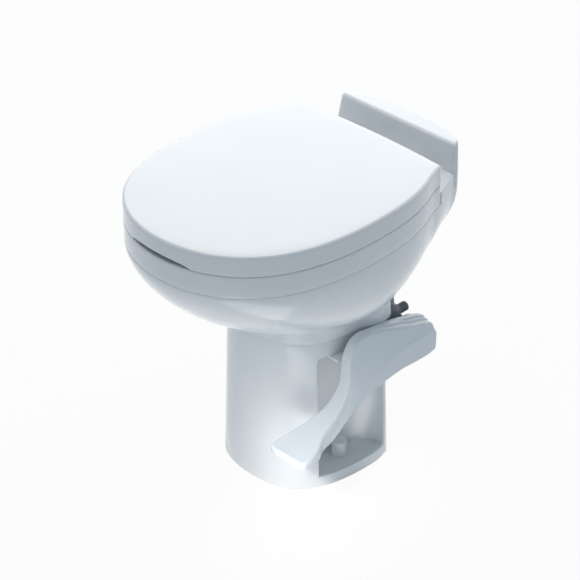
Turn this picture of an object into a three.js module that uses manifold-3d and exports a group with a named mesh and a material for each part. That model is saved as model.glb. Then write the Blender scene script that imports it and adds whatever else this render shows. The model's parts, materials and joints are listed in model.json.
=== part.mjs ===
// A floor standing toilet for a recreational vehicle, in millimetres.
// +Z is up and -Y is the front. +X is the side of the foot pedal. The origin is on the floor, under the
// middle of the body.
import * as THREE from "three";
import { mergeVertices } from "three/addons/utils/BufferGeometryUtils.js";
import Module from "manifold-3d";

const wasm = await Module();
wasm.setup();

// General clearances
const gap = 0.3; // between pieces that touch
const overrun = 3; // how far a cutting tool runs past what it cuts
const weld = 1e-4; // vertices closer than this are one

// Seat and lid outline: a round seat with a straight rear edge
const seatHalfWidth = 181;
const frontReach = 254.8;
const widestY = -27;
const seatRearY = 160.7;
const seatRearHalf = 141.9;
const seatFrontHandleShares = [0.335, 0.86];
const seatRearHandleShares = [0.68, 0.049, 0.221];

// Heights
const rimTopZ = 424.3;
const seatLift = 1.5;
const seatHeight = 33.4;
const seatEdgeRadius = 2.4;
const lidLift = 1;
const lidHeight = 31.7;
const deckRise = 20.7;
const housingHeight = 45.7;
const seatBottomZ = rimTopZ + seatLift;
const seatTopZ = seatBottomZ + seatHeight;
const lidBottomZ = seatTopZ + lidLift;
const lidTopZ = lidBottomZ + lidHeight;
const deckZ = rimTopZ + deckRise;
const housingTopZ = deckZ + housingHeight;

// Seat ring and lid walls
const seatWall = 4;
const seatTopWall = 6;
const lidWall = 4;
const lidEdgeRadius = 6;
const lidCrownInset = 30;
const lidCrownDrop = 0.7;
const openingHalfWidth = 110;
const openingFrontY = -186;
const openingRearY = 98;
const notchHalfWidth = 46;
const notchDepth = 7;
const notchHeight = 8;

// Bumpers under the seat and the lid
const bumperRadius = 8;
const bumperHeight = 5;
const bumperBossRadius = 10;
const frontBumperShare = 0.352;
const frontBumperY = -80;
const rearBumperInset = 37.9;
const rearBumperShare = 0.2233;
const lidBumperShare = 0.2254;
const lidBumperY = -104;
const lidBumperHeight = 4;
const frontBumperX = openingHalfWidth + (seatHalfWidth - openingHalfWidth) * frontBumperShare;
const rearBumperX = seatRearHalf - rearBumperInset;
const rearBumperY = openingRearY + (seatRearY - openingRearY) * rearBumperShare;
const lidBumperX = openingHalfWidth + (seatHalfWidth - openingHalfWidth) * lidBumperShare;

// Hinges
const hingeSetback = 15.8;
const hingeRise = 13;
const barrelRadius = 8;
const hingePinRadius = 4;
const hingePostX = 70;
const hingePostWidth = 12;
const hingeLugWidth = 13;
const hingeLugHeight = 15;
const postBaseWidth = 20;
const postBaseDepth = 39;
const postBaseHeight = 4.2;
const hingeBoltSetback = 20.5;
const hingeBoltRadius = 3;
const hingeBoltLength = 17;
const hingeBoltHeadRadius = 6.5;
const hingeBoltHeadHeight = 4;
const hingeNutHeight = 5.5;
const hingeY = seatRearY + hingeSetback;
const hingeZ = deckZ + hingeRise;

// Bowl shell
const shellWall = 4;
const collarHeight = 30;
const collarReach = 6.5;
const collarRoll = 3;
const creaseDepth = 3;
const deckSetback = 1.5;
const deckFrontY = seatRearY + deckSetback;
const rimLedge = 12;
const rimLedgeHeight = 4;
const rimPlate = 4;
const frontBulgeShares = [1.65, 1.42];
const sideBulgeShares = [2.1, 2.1];
const rearBulgeShares = [2.2, 1.3];
const housingHalfWidth = 119.6;
const housingSideLean = 5.6;
const housingSetback = 52.3;
const housingDepth = 40.3;
const housingFrontLean = 5.3;
const housingRearLean = 1.4;
const housingEdgeRadius = 5;
const housingRearShares = [
  [0.995, 0],
  [1, 0.335],
  [0.945, 0.62],
  [0.82, 0.8],
  [0.477, 0.945],
];
const housingTopHalfWidth = housingHalfWidth - housingSideLean;
const housingFrontY = deckFrontY + housingSetback;
const housingTopFrontY = housingFrontY + housingFrontLean;
const housingRearY = housingFrontY + housingDepth;
const housingTopRearY = housingRearY - housingRearLean;
const serviceHalfWidth = 97;
const serviceFrontY = 118;
const serviceSill = 2;
const serviceDrop = 14.3;

// Pedestal
const baseHalfWidth = 115.1;
const baseFrontY = -87.7;
const baseSideY = 73.2;
const baseRearY = 105.3;
const baseRearHalf = 106.6;
const baseFrontHandleShares = [0.711, 0.754];
const baseCornerRadius = 8;
const pedestalLap = 12;
const draftDegrees = 1.45;
const pedestalWall = 4;
const basePlateTop = 18;
const basePlateBottom = 12;
const baseRimWidth = 6;
const pocketInnerX = 60;
const pocketFrontY = -37;
const pocketBendY = 44;
const pocketRearY = 91;
const pocketBendX = 118;
const pocketTopZ = 230;
const pocketCornerRadius = 9;
const pocketWall = 3.5;

// Floor fixing: closet bolts in line with the drain
const drainY = 27.5;
const boltX = 76.2;
const boltRadius = 3.9;
const boltTopZ = 35;
const boltFloorGap = 0.5;
const boltBossRadius = 12;
const washerRadius = 10.4;
const washerThickness = 1.6;
const nutRadius = 7.5;
const nutHeight = 7;
const capRadius = 12;
const capWall = 1.2;
const capTopZ = 43;
const capCornerRadius = 3;

// Drain and shutter
const spigotRadius = 42;
const spigotBore = 38;
const spigotFloorGap = 1;
const spigotFlangeWidth = 10;
const spigotFlangeHeight = 4;
const sealOuterRadius = 64;
const sealFloorGap = 0.4;
const ballZ = 210;
const ballRadius = 47;
const ballWall = 4;
const ballHalfDegrees = 45;
const ballEarX = 29.6;
const ballEarThickness = 4;
const ballHubRadius = 11;
const housingBore = 49.5;
const housingWall = 3.5;
const coneDrop = 52;
const coneHeight = 48;
const outletRadius = 29.5;
const outletFlangeRadius = 41;
const sealThickness = 8;
const sealLift = 33.3;
const shutterLip = 3.3;
const shutterRise = 44;
const clampHalfWidth = 26;
const clampReach = 15;
const clampThickness = 5;
const clampScrewX = 18;
const screwRadius = 2;
const screwHeadRadius = 3.8;
const screwHeadHeight = 2.4;
const shaftRadius = 6;
const shaftBossRadius = 11;
const shaftEndX = 134.5;

// Bowl basin
const basinHalfWidth = 118;
const basinFrontY = -196;
const basinRearY = 112;
const basinWall = 4;
const basinLift = 12;
const collarDrop = 6;
const basinBulgeShares = [1.8, 1.8];
const basinFrontBulgeShares = [1.25, 1.25];
const coneTopZ = ballZ - coneDrop;
const coneBottomZ = coneTopZ - coneHeight;
const shutterTopZ = ballZ + shutterRise;
const basinFloorZ = shutterTopZ + basinLift;
const collarBottomZ = basinFloorZ - collarDrop;
const collarTopZ = collarBottomZ + collarHeight;
const pedestalTopZ = collarBottomZ + pedestalLap;
const serviceBottomZ = collarTopZ + serviceSill;
const serviceTopZ = rimTopZ - serviceDrop;

// Pedal drive: a gear sector in the pedal turns a pinion on the shutter shaft
const pivotY = 141.5;
const pivotZ = 198;
const pinionTeeth = 12;
const sectorTeeth = 72;
const pressureDegrees = 25;
const addendumShare = 0.8;
const dedendumShare = 1.05;
const backlash = 0.25;
const sectorFirstTooth = -4;
const sectorLastTooth = 1;
const gearX = 122.5;
const gearWidth = 9;
const sectorRim = 7;
const sectorArmHalf = 10;
const sectorHubRadius = 14;
const sectorHubX = 117;
const sectorScrewReach = [38, 68];
const sectorBossRadius = 5;
const pinionHubRadius = 9.5;
const pinionHubLength = 2.5;

// Pedal cover
const pedalOuterX = 143;
const pedalInnerX = 119;
const pedalWall = 3;
const pedalLip = 14;
const pedalEdgeRadius = 5;

// Pedal bracket on the pedestal's rear wall
const bracketX = 97;
const bracketThickness = 6;
const bracketEyeRadius = 27;
const bracketBossRadius = 11;
const bracketBossLength = 13;
const bracketFootX = 62;
const bracketFootDrop = 38;
const bracketFootDepth = 4.5;
const shelfX = 78;
const shelfRise = 8;
const shelfThickness = 4;
const shelfOverhang = 1.4;
const bracketScrewX = 76;
const bracketScrewRises = [-26, 2];
const bracketScrewLength = 12;

// Bracket that holds the shutter shaft's outer end
const webFrontY = -18.5;
const webRearY = 48;
const webInnerX = 72;
const webThickness = 3.5;
const webScrewX = 84;
const webScrewInset = 9;
const lugX = 110;
const lugThickness = 4.5;
const lugRadius = 13;

// Water valve and its cam
const camX = 85;
const camThickness = 7;
const camHubRadius = 10;
const camReach = 22;
const camNoseRadius = 3;
const pivotOverhang = 1.5;
const valveX = 80;
const valveWidth = 16.6;
const valveSetback = 0.7;
const valveDepth = 25;
const valveHeight = 39.7;
const valveEdge = 4;
const plungerRadius = 3.5;
const chamberWall = 2.5;
const chamberLength = 13.5;
const plungerHeadRadius = 5.5;
const plungerHeadThickness = 2;
const valveSpringRadius = 4.6;
const valveSpringWire = 0.5;
const valveSpringTurns = 3;
const nippleX = 88.3;
const nippleRise = 22.2;
const nippleRadius = 7.6;
const nippleBore = 4.5;
const nippleLength = 26;
const nippleInset = 4;
const nippleEnd = 2;
const threadPitch = 3.5;
const threadDepth = 1;
const bracketFootBottomZ = pivotZ - bracketFootDrop;
const bracketScrewZ = bracketScrewRises.map((rise) => pivotZ + rise);
const shelfZ = pivotZ + shelfRise;
const valveFrontY = baseRearY + valveSetback;
const shelfRearY = valveFrontY + valveDepth + shelfOverhang;
const valveBottomZ = shelfZ + shelfThickness + gap;
const valveTopZ = valveBottomZ + valveHeight;
const nippleZ = valveBottomZ + nippleRise;

// Return spring of the pedal
const springWire = 1.2;
const springRadius = 13.4;
const springTurns = 3;
const springSides = 5;
const springSteps = 12;

// Vacuum breaker and hoses
const breakerX = 50;
const breakerRadius = 11;
const breakerWall = 2.5;
const breakerHeight = 36;
const breakerHeadroom = 8.4;
const breakerPlaceShare = 0.5087;
const breakerCapRadius = 12.4;
const breakerCapHeight = 8;
const breakerStubRadius = 6;
const breakerStubLength = 10;
const floatRadius = 7;
const floatHeight = 14;
const hoseRadius = 7;
const hoseBore = 4.5;
const hoseSteps = 12;
const nozzleDrop = 22.3;
const nozzleRadius = 8.5;
const nozzleBore = 5.5;
const nozzleReach = 20;
const nozzleTail = 28;
const nozzleFlangeRadius = 12;
const nozzleFlangeThickness = 3;
const breakerY = housingFrontY + housingDepth * breakerPlaceShare;
const breakerTopZ = housingTopZ - shellWall - breakerHeadroom - breakerCapHeight / 2 - gap;
const breakerBottomZ = breakerTopZ - breakerHeight;
const nozzleZ = rimTopZ - nozzleDrop;
const nozzleFrontY = basinRearY - nozzleReach;
const nozzleRearY = basinRearY + nozzleTail;

// Finishes
const plastic = { roughness: 0.25, metalness: 0 };
const finishes = {
  white: new THREE.MeshStandardMaterial({ color: 0xe4e8ee, ...plastic }),
  pedalGrey: new THREE.MeshStandardMaterial({ color: 0xc9d4de, ...plastic }),
  grey: new THREE.MeshStandardMaterial({ color: 0x8f969e, roughness: 0.5, metalness: 0 }),
  dark: new THREE.MeshStandardMaterial({ color: 0x50525c, roughness: 0.55, metalness: 0 }),
  rubber: new THREE.MeshStandardMaterial({ color: 0x2c2d30, roughness: 0.85, metalness: 0 }),
  steel: new THREE.MeshStandardMaterial({ color: 0xb4b6b8, roughness: 0.35, metalness: 0.9 }),
  hose: new THREE.MeshStandardMaterial({ color: 0x9aa0a4, roughness: 0.5, metalness: 0 }),
};

const toilet = new THREE.Group();
const axisX = new THREE.Vector3(1, 0, 0);
const axisY = new THREE.Vector3(0, 1, 0);
const axisZ = new THREE.Vector3(0, 0, 1);
const point = (x, y, z) => new THREE.Vector3(x, y, z);
const radians = THREE.MathUtils.degToRad;
const counted = (count) => Array.from({ length: count }, (_, index) => index);
const mix = THREE.MathUtils.lerp;

// Solids

// A closed geometry as a solid with its shared corners merged and its faces pointing out.
function solid(geometry) {
  const bare = geometry.index ? geometry.toNonIndexed() : geometry.clone();
  for (const name of Object.keys(bare.attributes)) {
    if (name !== "position") bare.deleteAttribute(name);
  }
  const merged = mergeVertices(bare, weld);
  const places = merged.attributes.position;
  const corners = [];
  const [a, b, c] = [point(), point(), point()];
  let volume = 0;
  for (let i = 0; i < merged.index.count; i += 3) {
    const [p, q, r] = [0, 1, 2].map((step) => merged.index.getX(i + step));
    if (p === q || q === r || r === p) continue;
    corners.push(p, q, r);
    a.fromBufferAttribute(places, p);
    b.fromBufferAttribute(places, q);
    c.fromBufferAttribute(places, r);
    volume += a.dot(b.cross(c));
  }
  if (volume < 0) corners.reverse();
  return new wasm.Manifold(
    new wasm.Mesh({
      numProp: 3,
      vertProperties: new Float32Array(places.array),
      triVerts: new Uint32Array(corners),
    }),
  );
}

const join = (first, ...others) => others.reduce((sum, other) => sum.add(other), first);
const cut = (first, ...tools) => tools.reduce((rest, tool) => rest.subtract(tool), first);

// Adds a solid to a group as a named mesh.
function piece(name, body, material, holder = toilet) {
  const { numProp, vertProperties, triVerts } = body.getMesh();
  const geometry = new THREE.BufferGeometry();
  geometry.setAttribute("position", new THREE.BufferAttribute(vertProperties, numProp));
  geometry.setIndex(new THREE.BufferAttribute(triVerts, 1));
  geometry.computeVertexNormals();
  const mesh = new THREE.Mesh(geometry, material);
  mesh.name = name;
  holder.add(mesh);
  return mesh;
}

// A group of the toilet whose origin lies at a place.
function placed(x, y, z) {
  const holder = new THREE.Group();
  holder.position.set(x, y, z);
  toilet.add(holder);
  return holder;
}

// A solid between rings of points that all have the same count, closed by a fan at each end.
function loft(rings) {
  const count = rings[0].length;
  const vertices = rings.flat();
  const faces = [];
  for (let level = 0; level + 1 < rings.length; level++) {
    for (let i = 0; i < count; i++) {
      const here = level * count + i;
      const next = level * count + ((i + 1) % count);
      faces.push(here, next, next + count, here, next + count, here + count);
    }
  }
  for (const level of [0, rings.length - 1]) {
    const middle = rings[level].reduce((sum, p) => sum.add(p), point(0, 0, 0)).divideScalar(count);
    vertices.push(middle);
    for (let i = 0; i < count; i++) {
      const here = level * count + i;
      const next = level * count + ((i + 1) % count);
      if (level) faces.push(here, next, vertices.length - 1);
      else faces.push(next, here, vertices.length - 1);
    }
  }
  const geometry = new THREE.BufferGeometry().setFromPoints(vertices);
  geometry.setIndex(faces);
  return solid(geometry);
}

// A flat outline of [x, y] points carried from one height to another.
function slab(outline, bottom, top) {
  const shape = new THREE.Shape(outline.map(([x, y]) => new THREE.Vector2(x, y)));
  const geometry = new THREE.ExtrudeGeometry(shape, { depth: top - bottom, bevelEnabled: false });
  return solid(geometry.translate(0, 0, bottom));
}

// A flat outline of [y, z] points carried from one side place to another.
function sideSlab(outline, left, right) {
  const shape = new THREE.Shape(outline.map(([y, z]) => new THREE.Vector2(y, z)));
  const geometry = new THREE.ExtrudeGeometry(shape, { depth: right - left, bevelEnabled: false });
  geometry.applyMatrix4(new THREE.Matrix4().makeBasis(axisY, axisZ, axisX));
  return solid(geometry.translate(left, 0, 0));
}

function box(x, y, z) {
  const geometry = new THREE.BoxGeometry(x[1] - x[0], y[1] - y[0], z[1] - z[0]);
  return solid(geometry.translate((x[0] + x[1]) / 2, (y[0] + y[1]) / 2, (z[0] + z[1]) / 2));
}

// A profile of [radius, height] points turned about an axis through a place.
function turned(profile, place, axis = axisZ, sides = 32) {
  const points = profile.map(([radius, height]) => new THREE.Vector2(radius, height));
  const geometry = new THREE.LatheGeometry(points, sides);
  geometry.applyQuaternion(new THREE.Quaternion().setFromUnitVectors(axisY, axis));
  return solid(geometry.translate(place.x, place.y, place.z));
}

const disc = (radius, height) => [
  [0, 0],
  [radius, 0],
  [radius, height],
  [0, height],
];
const rod = (radius, length, place, axis, sides) => turned(disc(radius, length), place, axis, sides);

// A closed ring profile between two radii and two heights.
const band = (inner, outer, bottom, top) => [
  [inner, bottom],
  [outer, bottom],
  [outer, top],
  [inner, top],
  [inner, bottom],
];

// A round or hollow section carried along a curve.
function hose(curve, radius, bore, steps, sides = 8) {
  const round = (size) =>
    counted(sides).map((side) => {
      const turn = (side / sides) * 2 * Math.PI;
      return new THREE.Vector2(size * Math.cos(turn), size * Math.sin(turn));
    });
  const shape = new THREE.Shape(round(radius));
  if (bore) shape.holes.push(new THREE.Path(round(bore)));
  return solid(
    new THREE.ExtrudeGeometry(shape, { extrudePath: curve, steps, bevelEnabled: false }),
  );
}

// A screw along an axis: shank from its place, head at the far end.
function screw(length, place, axis, radius = screwRadius, head = screwHeadRadius) {
  const profile = [
    [0, 0],
    [radius, 0],
    [radius, length],
    [head, length],
    [head, length + screwHeadHeight / 2],
    [head / 2, length + screwHeadHeight],
    [0, length + screwHeadHeight],
  ];
  return turned(profile, place, axis, 10);
}

// Outlines in the floor plane
const outlineSteps = 8;

function cubic(a, b, c, d, steps) {
  const curve = new THREE.CubicBezierCurve(
    ...[a, b, c, d].map(([x, y]) => new THREE.Vector2(x, y)),
  );
  return curve.getPoints(steps).map((p) => [p.x, p.y]);
}

// The right half of an outline, from the front to the rear, closed by its mirror image.
function mirrored(half) {
  const inner = half.slice(1, -1).reverse();
  return [...half, ...inner.map(([x, y]) => [-x, y])];
}

// The round part of the seat outline, drawn in by an inset.
function seatCurve(inset, steps) {
  const front = inset - frontReach;
  const half = seatHalfWidth - inset;
  const rear = seatRearY - inset;
  const rearHalf = seatRearHalf - inset;
  const [flat, full] = seatFrontHandleShares;
  const [long, wide, deep] = seatRearHandleShares;
  const frontHalf = cubic(
    [0, front],
    [half * flat, front],
    [half, mix(widestY, front, full)],
    [half, widestY],
    steps,
  );
  const rearPart = cubic(
    [half, widestY],
    [half, mix(widestY, rear, long)],
    [rearHalf * (1 + wide), mix(rear, widestY, deep)],
    [rearHalf, rear],
    steps,
  );
  return [...frontHalf, ...rearPart.slice(1)];
}

const seatOutline = (inset, steps = outlineSteps) => {
  const half = seatCurve(inset, steps);
  return mirrored([...half, [0, seatRearY - inset]]);
};

// The rear housing's bowed back, from its front corner to the middle.
function housingCurve(halfWidth, frontY, rearY, inset) {
  const half = halfWidth - inset;
  const depth = rearY - frontY - inset;
  const bow = housingRearShares.map(([wide, deep]) => [half * wide, frontY + depth * deep]);
  return [...bow, [0, frontY + depth]];
}

const shellOutline = (inset) => {
  const rear = housingCurve(housingHalfWidth, housingFrontY, housingRearY, inset);
  return mirrored([...seatCurve(inset, outlineSteps), ...rear]);
};

const housingOutline = (halfWidth, frontY, rearY, inset) => {
  const curve = housingCurve(halfWidth, frontY + inset, rearY, inset);
  return mirrored([[0, frontY + inset], ...curve]);
};

// The pedestal's outline at a height, drawn in by an inset as well as by its draft.
function pedestalOutline(height, inset) {
  const all = inset + height * Math.tan(radians(draftDegrees));
  const front = baseFrontY + all;
  const half = baseHalfWidth - all;
  const rear = baseRearY - all;
  const rearHalf = baseRearHalf - all;
  const [flat, full] = baseFrontHandleShares;
  const curve = cubic(
    [0, front],
    [half * flat, front],
    [half, mix(baseSideY, front, full)],
    [half, baseSideY],
    outlineSteps,
  );
  const corner = cubic(
    [rearHalf + ((half - rearHalf) * baseCornerRadius) / (rear - baseSideY), rear - baseCornerRadius],
    [rearHalf, rear - baseCornerRadius / 3],
    [rearHalf - baseCornerRadius / 3, rear],
    [rearHalf - baseCornerRadius, rear],
    3,
  );
  return mirrored([...curve, ...corner, [0, rear]]);
}

const atHeight = (outline, z) => outline.map(([x, y]) => point(x, y, z));

// How far an outline reaches from a centre on the middle line, at angles counted from the front.
function reach(outline, centreY, angles) {
  return angles.map((angle) => {
    const [dx, dy] = [Math.sin(angle), -Math.cos(angle)];
    let furthest = 0;
    outline.forEach(([x, y], i) => {
      const [u, v] = outline[(i + 1) % outline.length];
      const [ax, ay, bx, by] = [x, y - centreY, u, v - centreY];
      const across = dx * (by - ay) - dy * (bx - ax);
      if (Math.abs(across) < Number.EPSILON) return;
      const far = (ax * (by - ay) - ay * (bx - ax)) / across;
      const along = (ax * dy - ay * dx) / across;
      if (along >= -1e-9 && along <= 1 + 1e-9) furthest = Math.max(furthest, far);
    });
    return furthest;
  });
}

// A ring at a height from a centre on the middle line.
const ringAt = (radii, centreY, angles, z) =>
  radii.map((r, i) => point(r * Math.sin(angles[i]), centreY - r * Math.cos(angles[i]), z));

// Profile of a bulging wall: 0 at the bottom, 1 and upright at the top. The first power rounds its top,
// the second its foot, and with both alike it is a superellipse.
const bulge = (share, [top, foot]) => (1 - (1 - share) ** top) ** (1 / foot);
const blend = (first, second, share) => first.map((value, i) => mix(value, second[i], share));

// Pedestal with its two side pockets

const pedestalBlock = (inset, bottom, top) =>
  loft([bottom, top].map((z) => atHeight(pedestalOutline(z, inset), z)));

// The pocket's space on one side, grown by a wall where that is asked for.
function pocketBlock(side, wall, bottom) {
  const bendX = pocketBendX - wall;
  const innerX = pocketInnerX - wall;
  const rearY = pocketRearY + wall;
  const outerX = baseHalfWidth + overrun;
  const arc = counted(7).map((step) => {
    const turn = (step / 6) * (Math.PI / 2);
    return [
      bendX - (bendX - innerX) * Math.cos(turn),
      pocketBendY + (rearY - pocketBendY) * Math.sin(turn),
    ];
  });
  const plan = [
    [innerX, pocketFrontY - wall],
    [outerX, pocketFrontY - wall],
    [outerX, rearY],
    ...arc.reverse(),
  ];
  const topZ = pocketTopZ + wall;
  const radius = pocketCornerRadius + wall;
  const corner = counted(5).map((step) => {
    const turn = (step / 4) * (Math.PI / 2);
    return [
      pocketFrontY - wall + radius * (1 - Math.sin(turn)),
      topZ - radius * (1 - Math.cos(turn)),
    ];
  });
  const view = [
    [pocketFrontY - wall, bottom],
    [rearY + overrun, bottom],
    [rearY + overrun, topZ],
    ...corner,
  ];
  const sided = plan.map(([x, y]) => [side * x, y]);
  return slab(sided, bottom, topZ).intersect(sideSlab(view, -outerX - overrun, outerX + overrun));
}

const boltHole = (side, radius, bottom, top) =>
  rod(radius, top - bottom, point(side * boltX, drainY, bottom), axisZ, 24);

function pedestal() {
  const inside = cut(
    pedestalBlock(pedestalWall, basePlateTop, pedestalTopZ + overrun),
    pocketBlock(1, pocketWall, basePlateTop - overrun),
    pocketBlock(-1, pocketWall, basePlateTop - overrun),
  );
  const under = cut(
    loft([-overrun, basePlateBottom].map((z) => atHeight(pedestalOutline(0, baseRimWidth), z))),
    boltHole(1, boltBossRadius, -2 * overrun, basePlateTop),
    boltHole(-1, boltBossRadius, -2 * overrun, basePlateTop),
  );
  const drain = rod(spigotRadius + gap, basePlateTop + overrun, point(0, drainY, 0), axisZ, 24);
  const shaftHole = rod(
    shaftRadius + gap,
    pocketWall + 2 * overrun,
    point(pocketInnerX - pocketWall - overrun, drainY, ballZ),
    axisX,
    20,
  );
  const bracketHoles = bracketScrewZ.map((z) =>
    rod(screwRadius + gap, 4 * overrun, point(bracketScrewX, baseRearY - 5 * overrun, z), axisY, 12),
  );
  const webHoles = [webFrontY, webRearY].map((y, i) =>
    rod(
      screwRadius + gap,
      pocketWall + 2 * overrun,
      point(webScrewX, y + (i ? -webScrewInset : webScrewInset), pocketTopZ - overrun),
      axisZ,
      12,
    ),
  );
  return cut(
    pedestalBlock(0, 0, pedestalTopZ),
    inside,
    under,
    drain,
    pocketBlock(1, 0, basePlateTop),
    pocketBlock(-1, 0, basePlateTop),
    boltHole(1, boltRadius + gap, -overrun, basePlateTop + overrun),
    boltHole(-1, boltRadius + gap, -overrun, basePlateTop + overrun),
    shaftHole,
    ...bracketHoles,
    ...webHoles,
  );
}

piece("pedestal", pedestal(), finishes.white);

// Floor fixing

const hexagon = (radius, height) => turned(disc(radius, height), point(0, 0, 0), axisZ, 6);

function closetFixing(side, label) {
  const fixing = placed(side * boltX, drainY, 0);
  const washerZ = basePlateTop + gap;
  const nutZ = washerZ + washerThickness + gap;
  const bore = boltRadius + gap;
  const stud = [
    [0, boltFloorGap],
    [boltRadius, boltFloorGap],
    [boltRadius, boltTopZ - boltRadius / 2],
    [boltRadius / 2, boltTopZ],
    [0, boltTopZ],
  ];
  const origin = point(0, 0, 0);
  piece("closet_bolt_" + label, turned(stud, origin, axisZ, 16), finishes.steel, fixing);
  const washer = turned(band(bore, washerRadius, 0, washerThickness), origin, axisZ, 20);
  piece("closet_washer_" + label, washer, finishes.steel, fixing).position.z = washerZ;
  const drill = rod(bore, nutHeight + 2 * overrun, point(0, 0, -overrun), axisZ, 16);
  const nut = cut(hexagon(nutRadius, nutHeight), drill);
  piece("closet_nut_" + label, nut, finishes.steel, fixing).position.z = nutZ;
  const inner = capRadius - capWall;
  const shell = [
    [inner, washerZ],
    [capRadius, washerZ],
    [capRadius, capTopZ - capCornerRadius],
    [capRadius - capCornerRadius / 3, capTopZ - capCornerRadius / 3],
    [capRadius - capCornerRadius, capTopZ],
    [0, capTopZ],
    [0, capTopZ - capWall],
    [inner - capCornerRadius, capTopZ - capWall],
    [inner, capTopZ - capWall - capCornerRadius],
    [inner, washerZ],
  ];
  piece("bolt_cap_" + label, turned(shell, origin, axisZ, 24), finishes.white, fixing);
}

closetFixing(1, "right");
closetFixing(-1, "left");

const floorSeal = turned(
  band(spigotRadius + gap, sealOuterRadius, sealFloorGap, basePlateBottom - gap),
  point(0, drainY, 0),
  axisZ,
  24,
);
piece("floor_seal", floorSeal, finishes.rubber);

// Shutter housing, split at the shaft's height

const sealBottomZ = ballZ + sealLift;
const housingOuter = housingBore + housingWall;
const drainPlace = point(0, drainY, 0);

// The clamping ears of one half, in front of the housing and behind it.
const clampEars = (bottom, top) =>
  [-1, 1].map((way) =>
    box(
      [-clampHalfWidth, clampHalfWidth],
      way > 0
        ? [drainY + housingBore - clampReach, drainY + housingOuter + clampReach]
        : [drainY - housingOuter - clampReach, drainY - housingBore + clampReach],
      [bottom, top],
    ),
  );

const shaftBosses = [-1, 1].map((side) =>
  rod(
    shaftBossRadius,
    pocketInnerX - pocketWall - gap - housingBore,
    point(side > 0 ? housingBore : gap + pocketWall - pocketInnerX, drainY, ballZ),
    axisX,
    20,
  ),
);
const shaftBore = rod(
  shaftRadius + gap,
  2 * pocketInnerX,
  point(-pocketInnerX, drainY, ballZ),
  axisX,
  24,
);
const clampHoles = [-1, 1].flatMap((way) =>
  [-clampScrewX, clampScrewX].map((x) => [x, drainY + way * (housingOuter + clampReach / 2)]),
);
const clampDrills = clampHoles.map(([x, y]) =>
  rod(screwRadius + gap, 4 * clampThickness, point(x, y, ballZ - 2 * clampThickness), axisZ, 12),
);
const halfSpace = (bottom, top) =>
  box([-baseHalfWidth, baseHalfWidth], [baseFrontY, baseRearY], [bottom, top]);

const housingLowerProfile = [
  [spigotBore, spigotFloorGap],
  [spigotRadius, spigotFloorGap],
  [spigotRadius, basePlateTop + gap],
  [spigotRadius + spigotFlangeWidth, basePlateTop + gap],
  [spigotRadius + spigotFlangeWidth, basePlateTop + spigotFlangeHeight],
  [spigotRadius, basePlateTop + spigotFlangeHeight],
  [spigotRadius, coneBottomZ],
  [housingOuter, coneTopZ],
  [housingOuter, ballZ - gap / 2],
  [housingBore, ballZ - gap / 2],
  [housingBore, coneTopZ],
  [spigotBore, coneBottomZ],
  [spigotBore, spigotFloorGap],
];
const hollowBore = rod(
  housingBore,
  4 * clampThickness,
  point(0, drainY, ballZ - 2 * clampThickness),
  axisZ,
  24,
);
const lowerHalf = halfSpace(0, ballZ - gap / 2);
const upperHalf = halfSpace(ballZ + gap / 2, rimTopZ);
const housingLower = cut(
  join(
    turned(housingLowerProfile, drainPlace, axisZ, 24),
    ...clampEars(ballZ - clampThickness, ballZ).map((ear) => ear.subtract(hollowBore)),
    ...shaftBosses,
  ).intersect(lowerHalf),
  shaftBore,
  ...clampDrills,
);
piece("shutter_housing_lower", housingLower, finishes.grey);

const lipBottomZ = sealBottomZ - shutterLip;
const lipRadius = Math.sqrt(ballRadius ** 2 - (lipBottomZ - ballZ) ** 2) + 2 * gap;
const counterbore = outletFlangeRadius + gap;
const housingUpperProfile = [
  [housingBore, ballZ + gap / 2],
  [housingOuter, ballZ + gap / 2],
  [housingOuter, shutterTopZ],
  [counterbore, shutterTopZ],
  [counterbore, sealBottomZ],
  [lipRadius, sealBottomZ],
  [lipRadius, lipBottomZ],
  [housingBore, lipBottomZ],
  [housingBore, ballZ + gap / 2],
];
const housingUpper = cut(
  join(
    turned(housingUpperProfile, drainPlace, axisZ, 24),
    ...clampEars(ballZ, ballZ + clampThickness).map((ear) => ear.subtract(hollowBore)),
    ...shaftBosses,
  ).intersect(upperHalf),
  shaftBore,
  ...clampDrills,
);
piece("shutter_housing_upper", housingUpper, finishes.grey);

clampHoles.forEach(([x, y], i) => {
  const body = screw(2 * clampThickness + gap, point(0, 0, 0), axisZ);
  const place = point(x, y, ballZ - clampThickness);
  piece("clamp_screw_" + (i + 1), body, finishes.steel).position.copy(place);
});

// Ball seal: its lower inner edge follows the ball.
const sealTopZ = sealBottomZ + sealThickness;
const sealSteps = 2;
const sealCurve = counted(sealSteps + 1).map((step) => {
  const innerHeight = Math.sqrt((ballRadius + gap) ** 2 - outletRadius ** 2);
  const z = mix(sealLift + gap, innerHeight, step / sealSteps);
  return [Math.sqrt((ballRadius + gap) ** 2 - z ** 2), ballZ + z];
});
const ballSeal = turned(
  [
    ...sealCurve,
    [outletRadius, sealTopZ - gap],
    [outletFlangeRadius, sealTopZ - gap],
    [outletFlangeRadius, sealBottomZ + gap],
    sealCurve[0],
  ],
  drainPlace,
  axisZ,
  24,
);
piece("ball_seal", ballSeal, finishes.rubber);

// Shutter ball: a cap of a sphere on two ears that turn about the shaft.
const shutterGroup = placed(0, drainY, ballZ);

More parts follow.
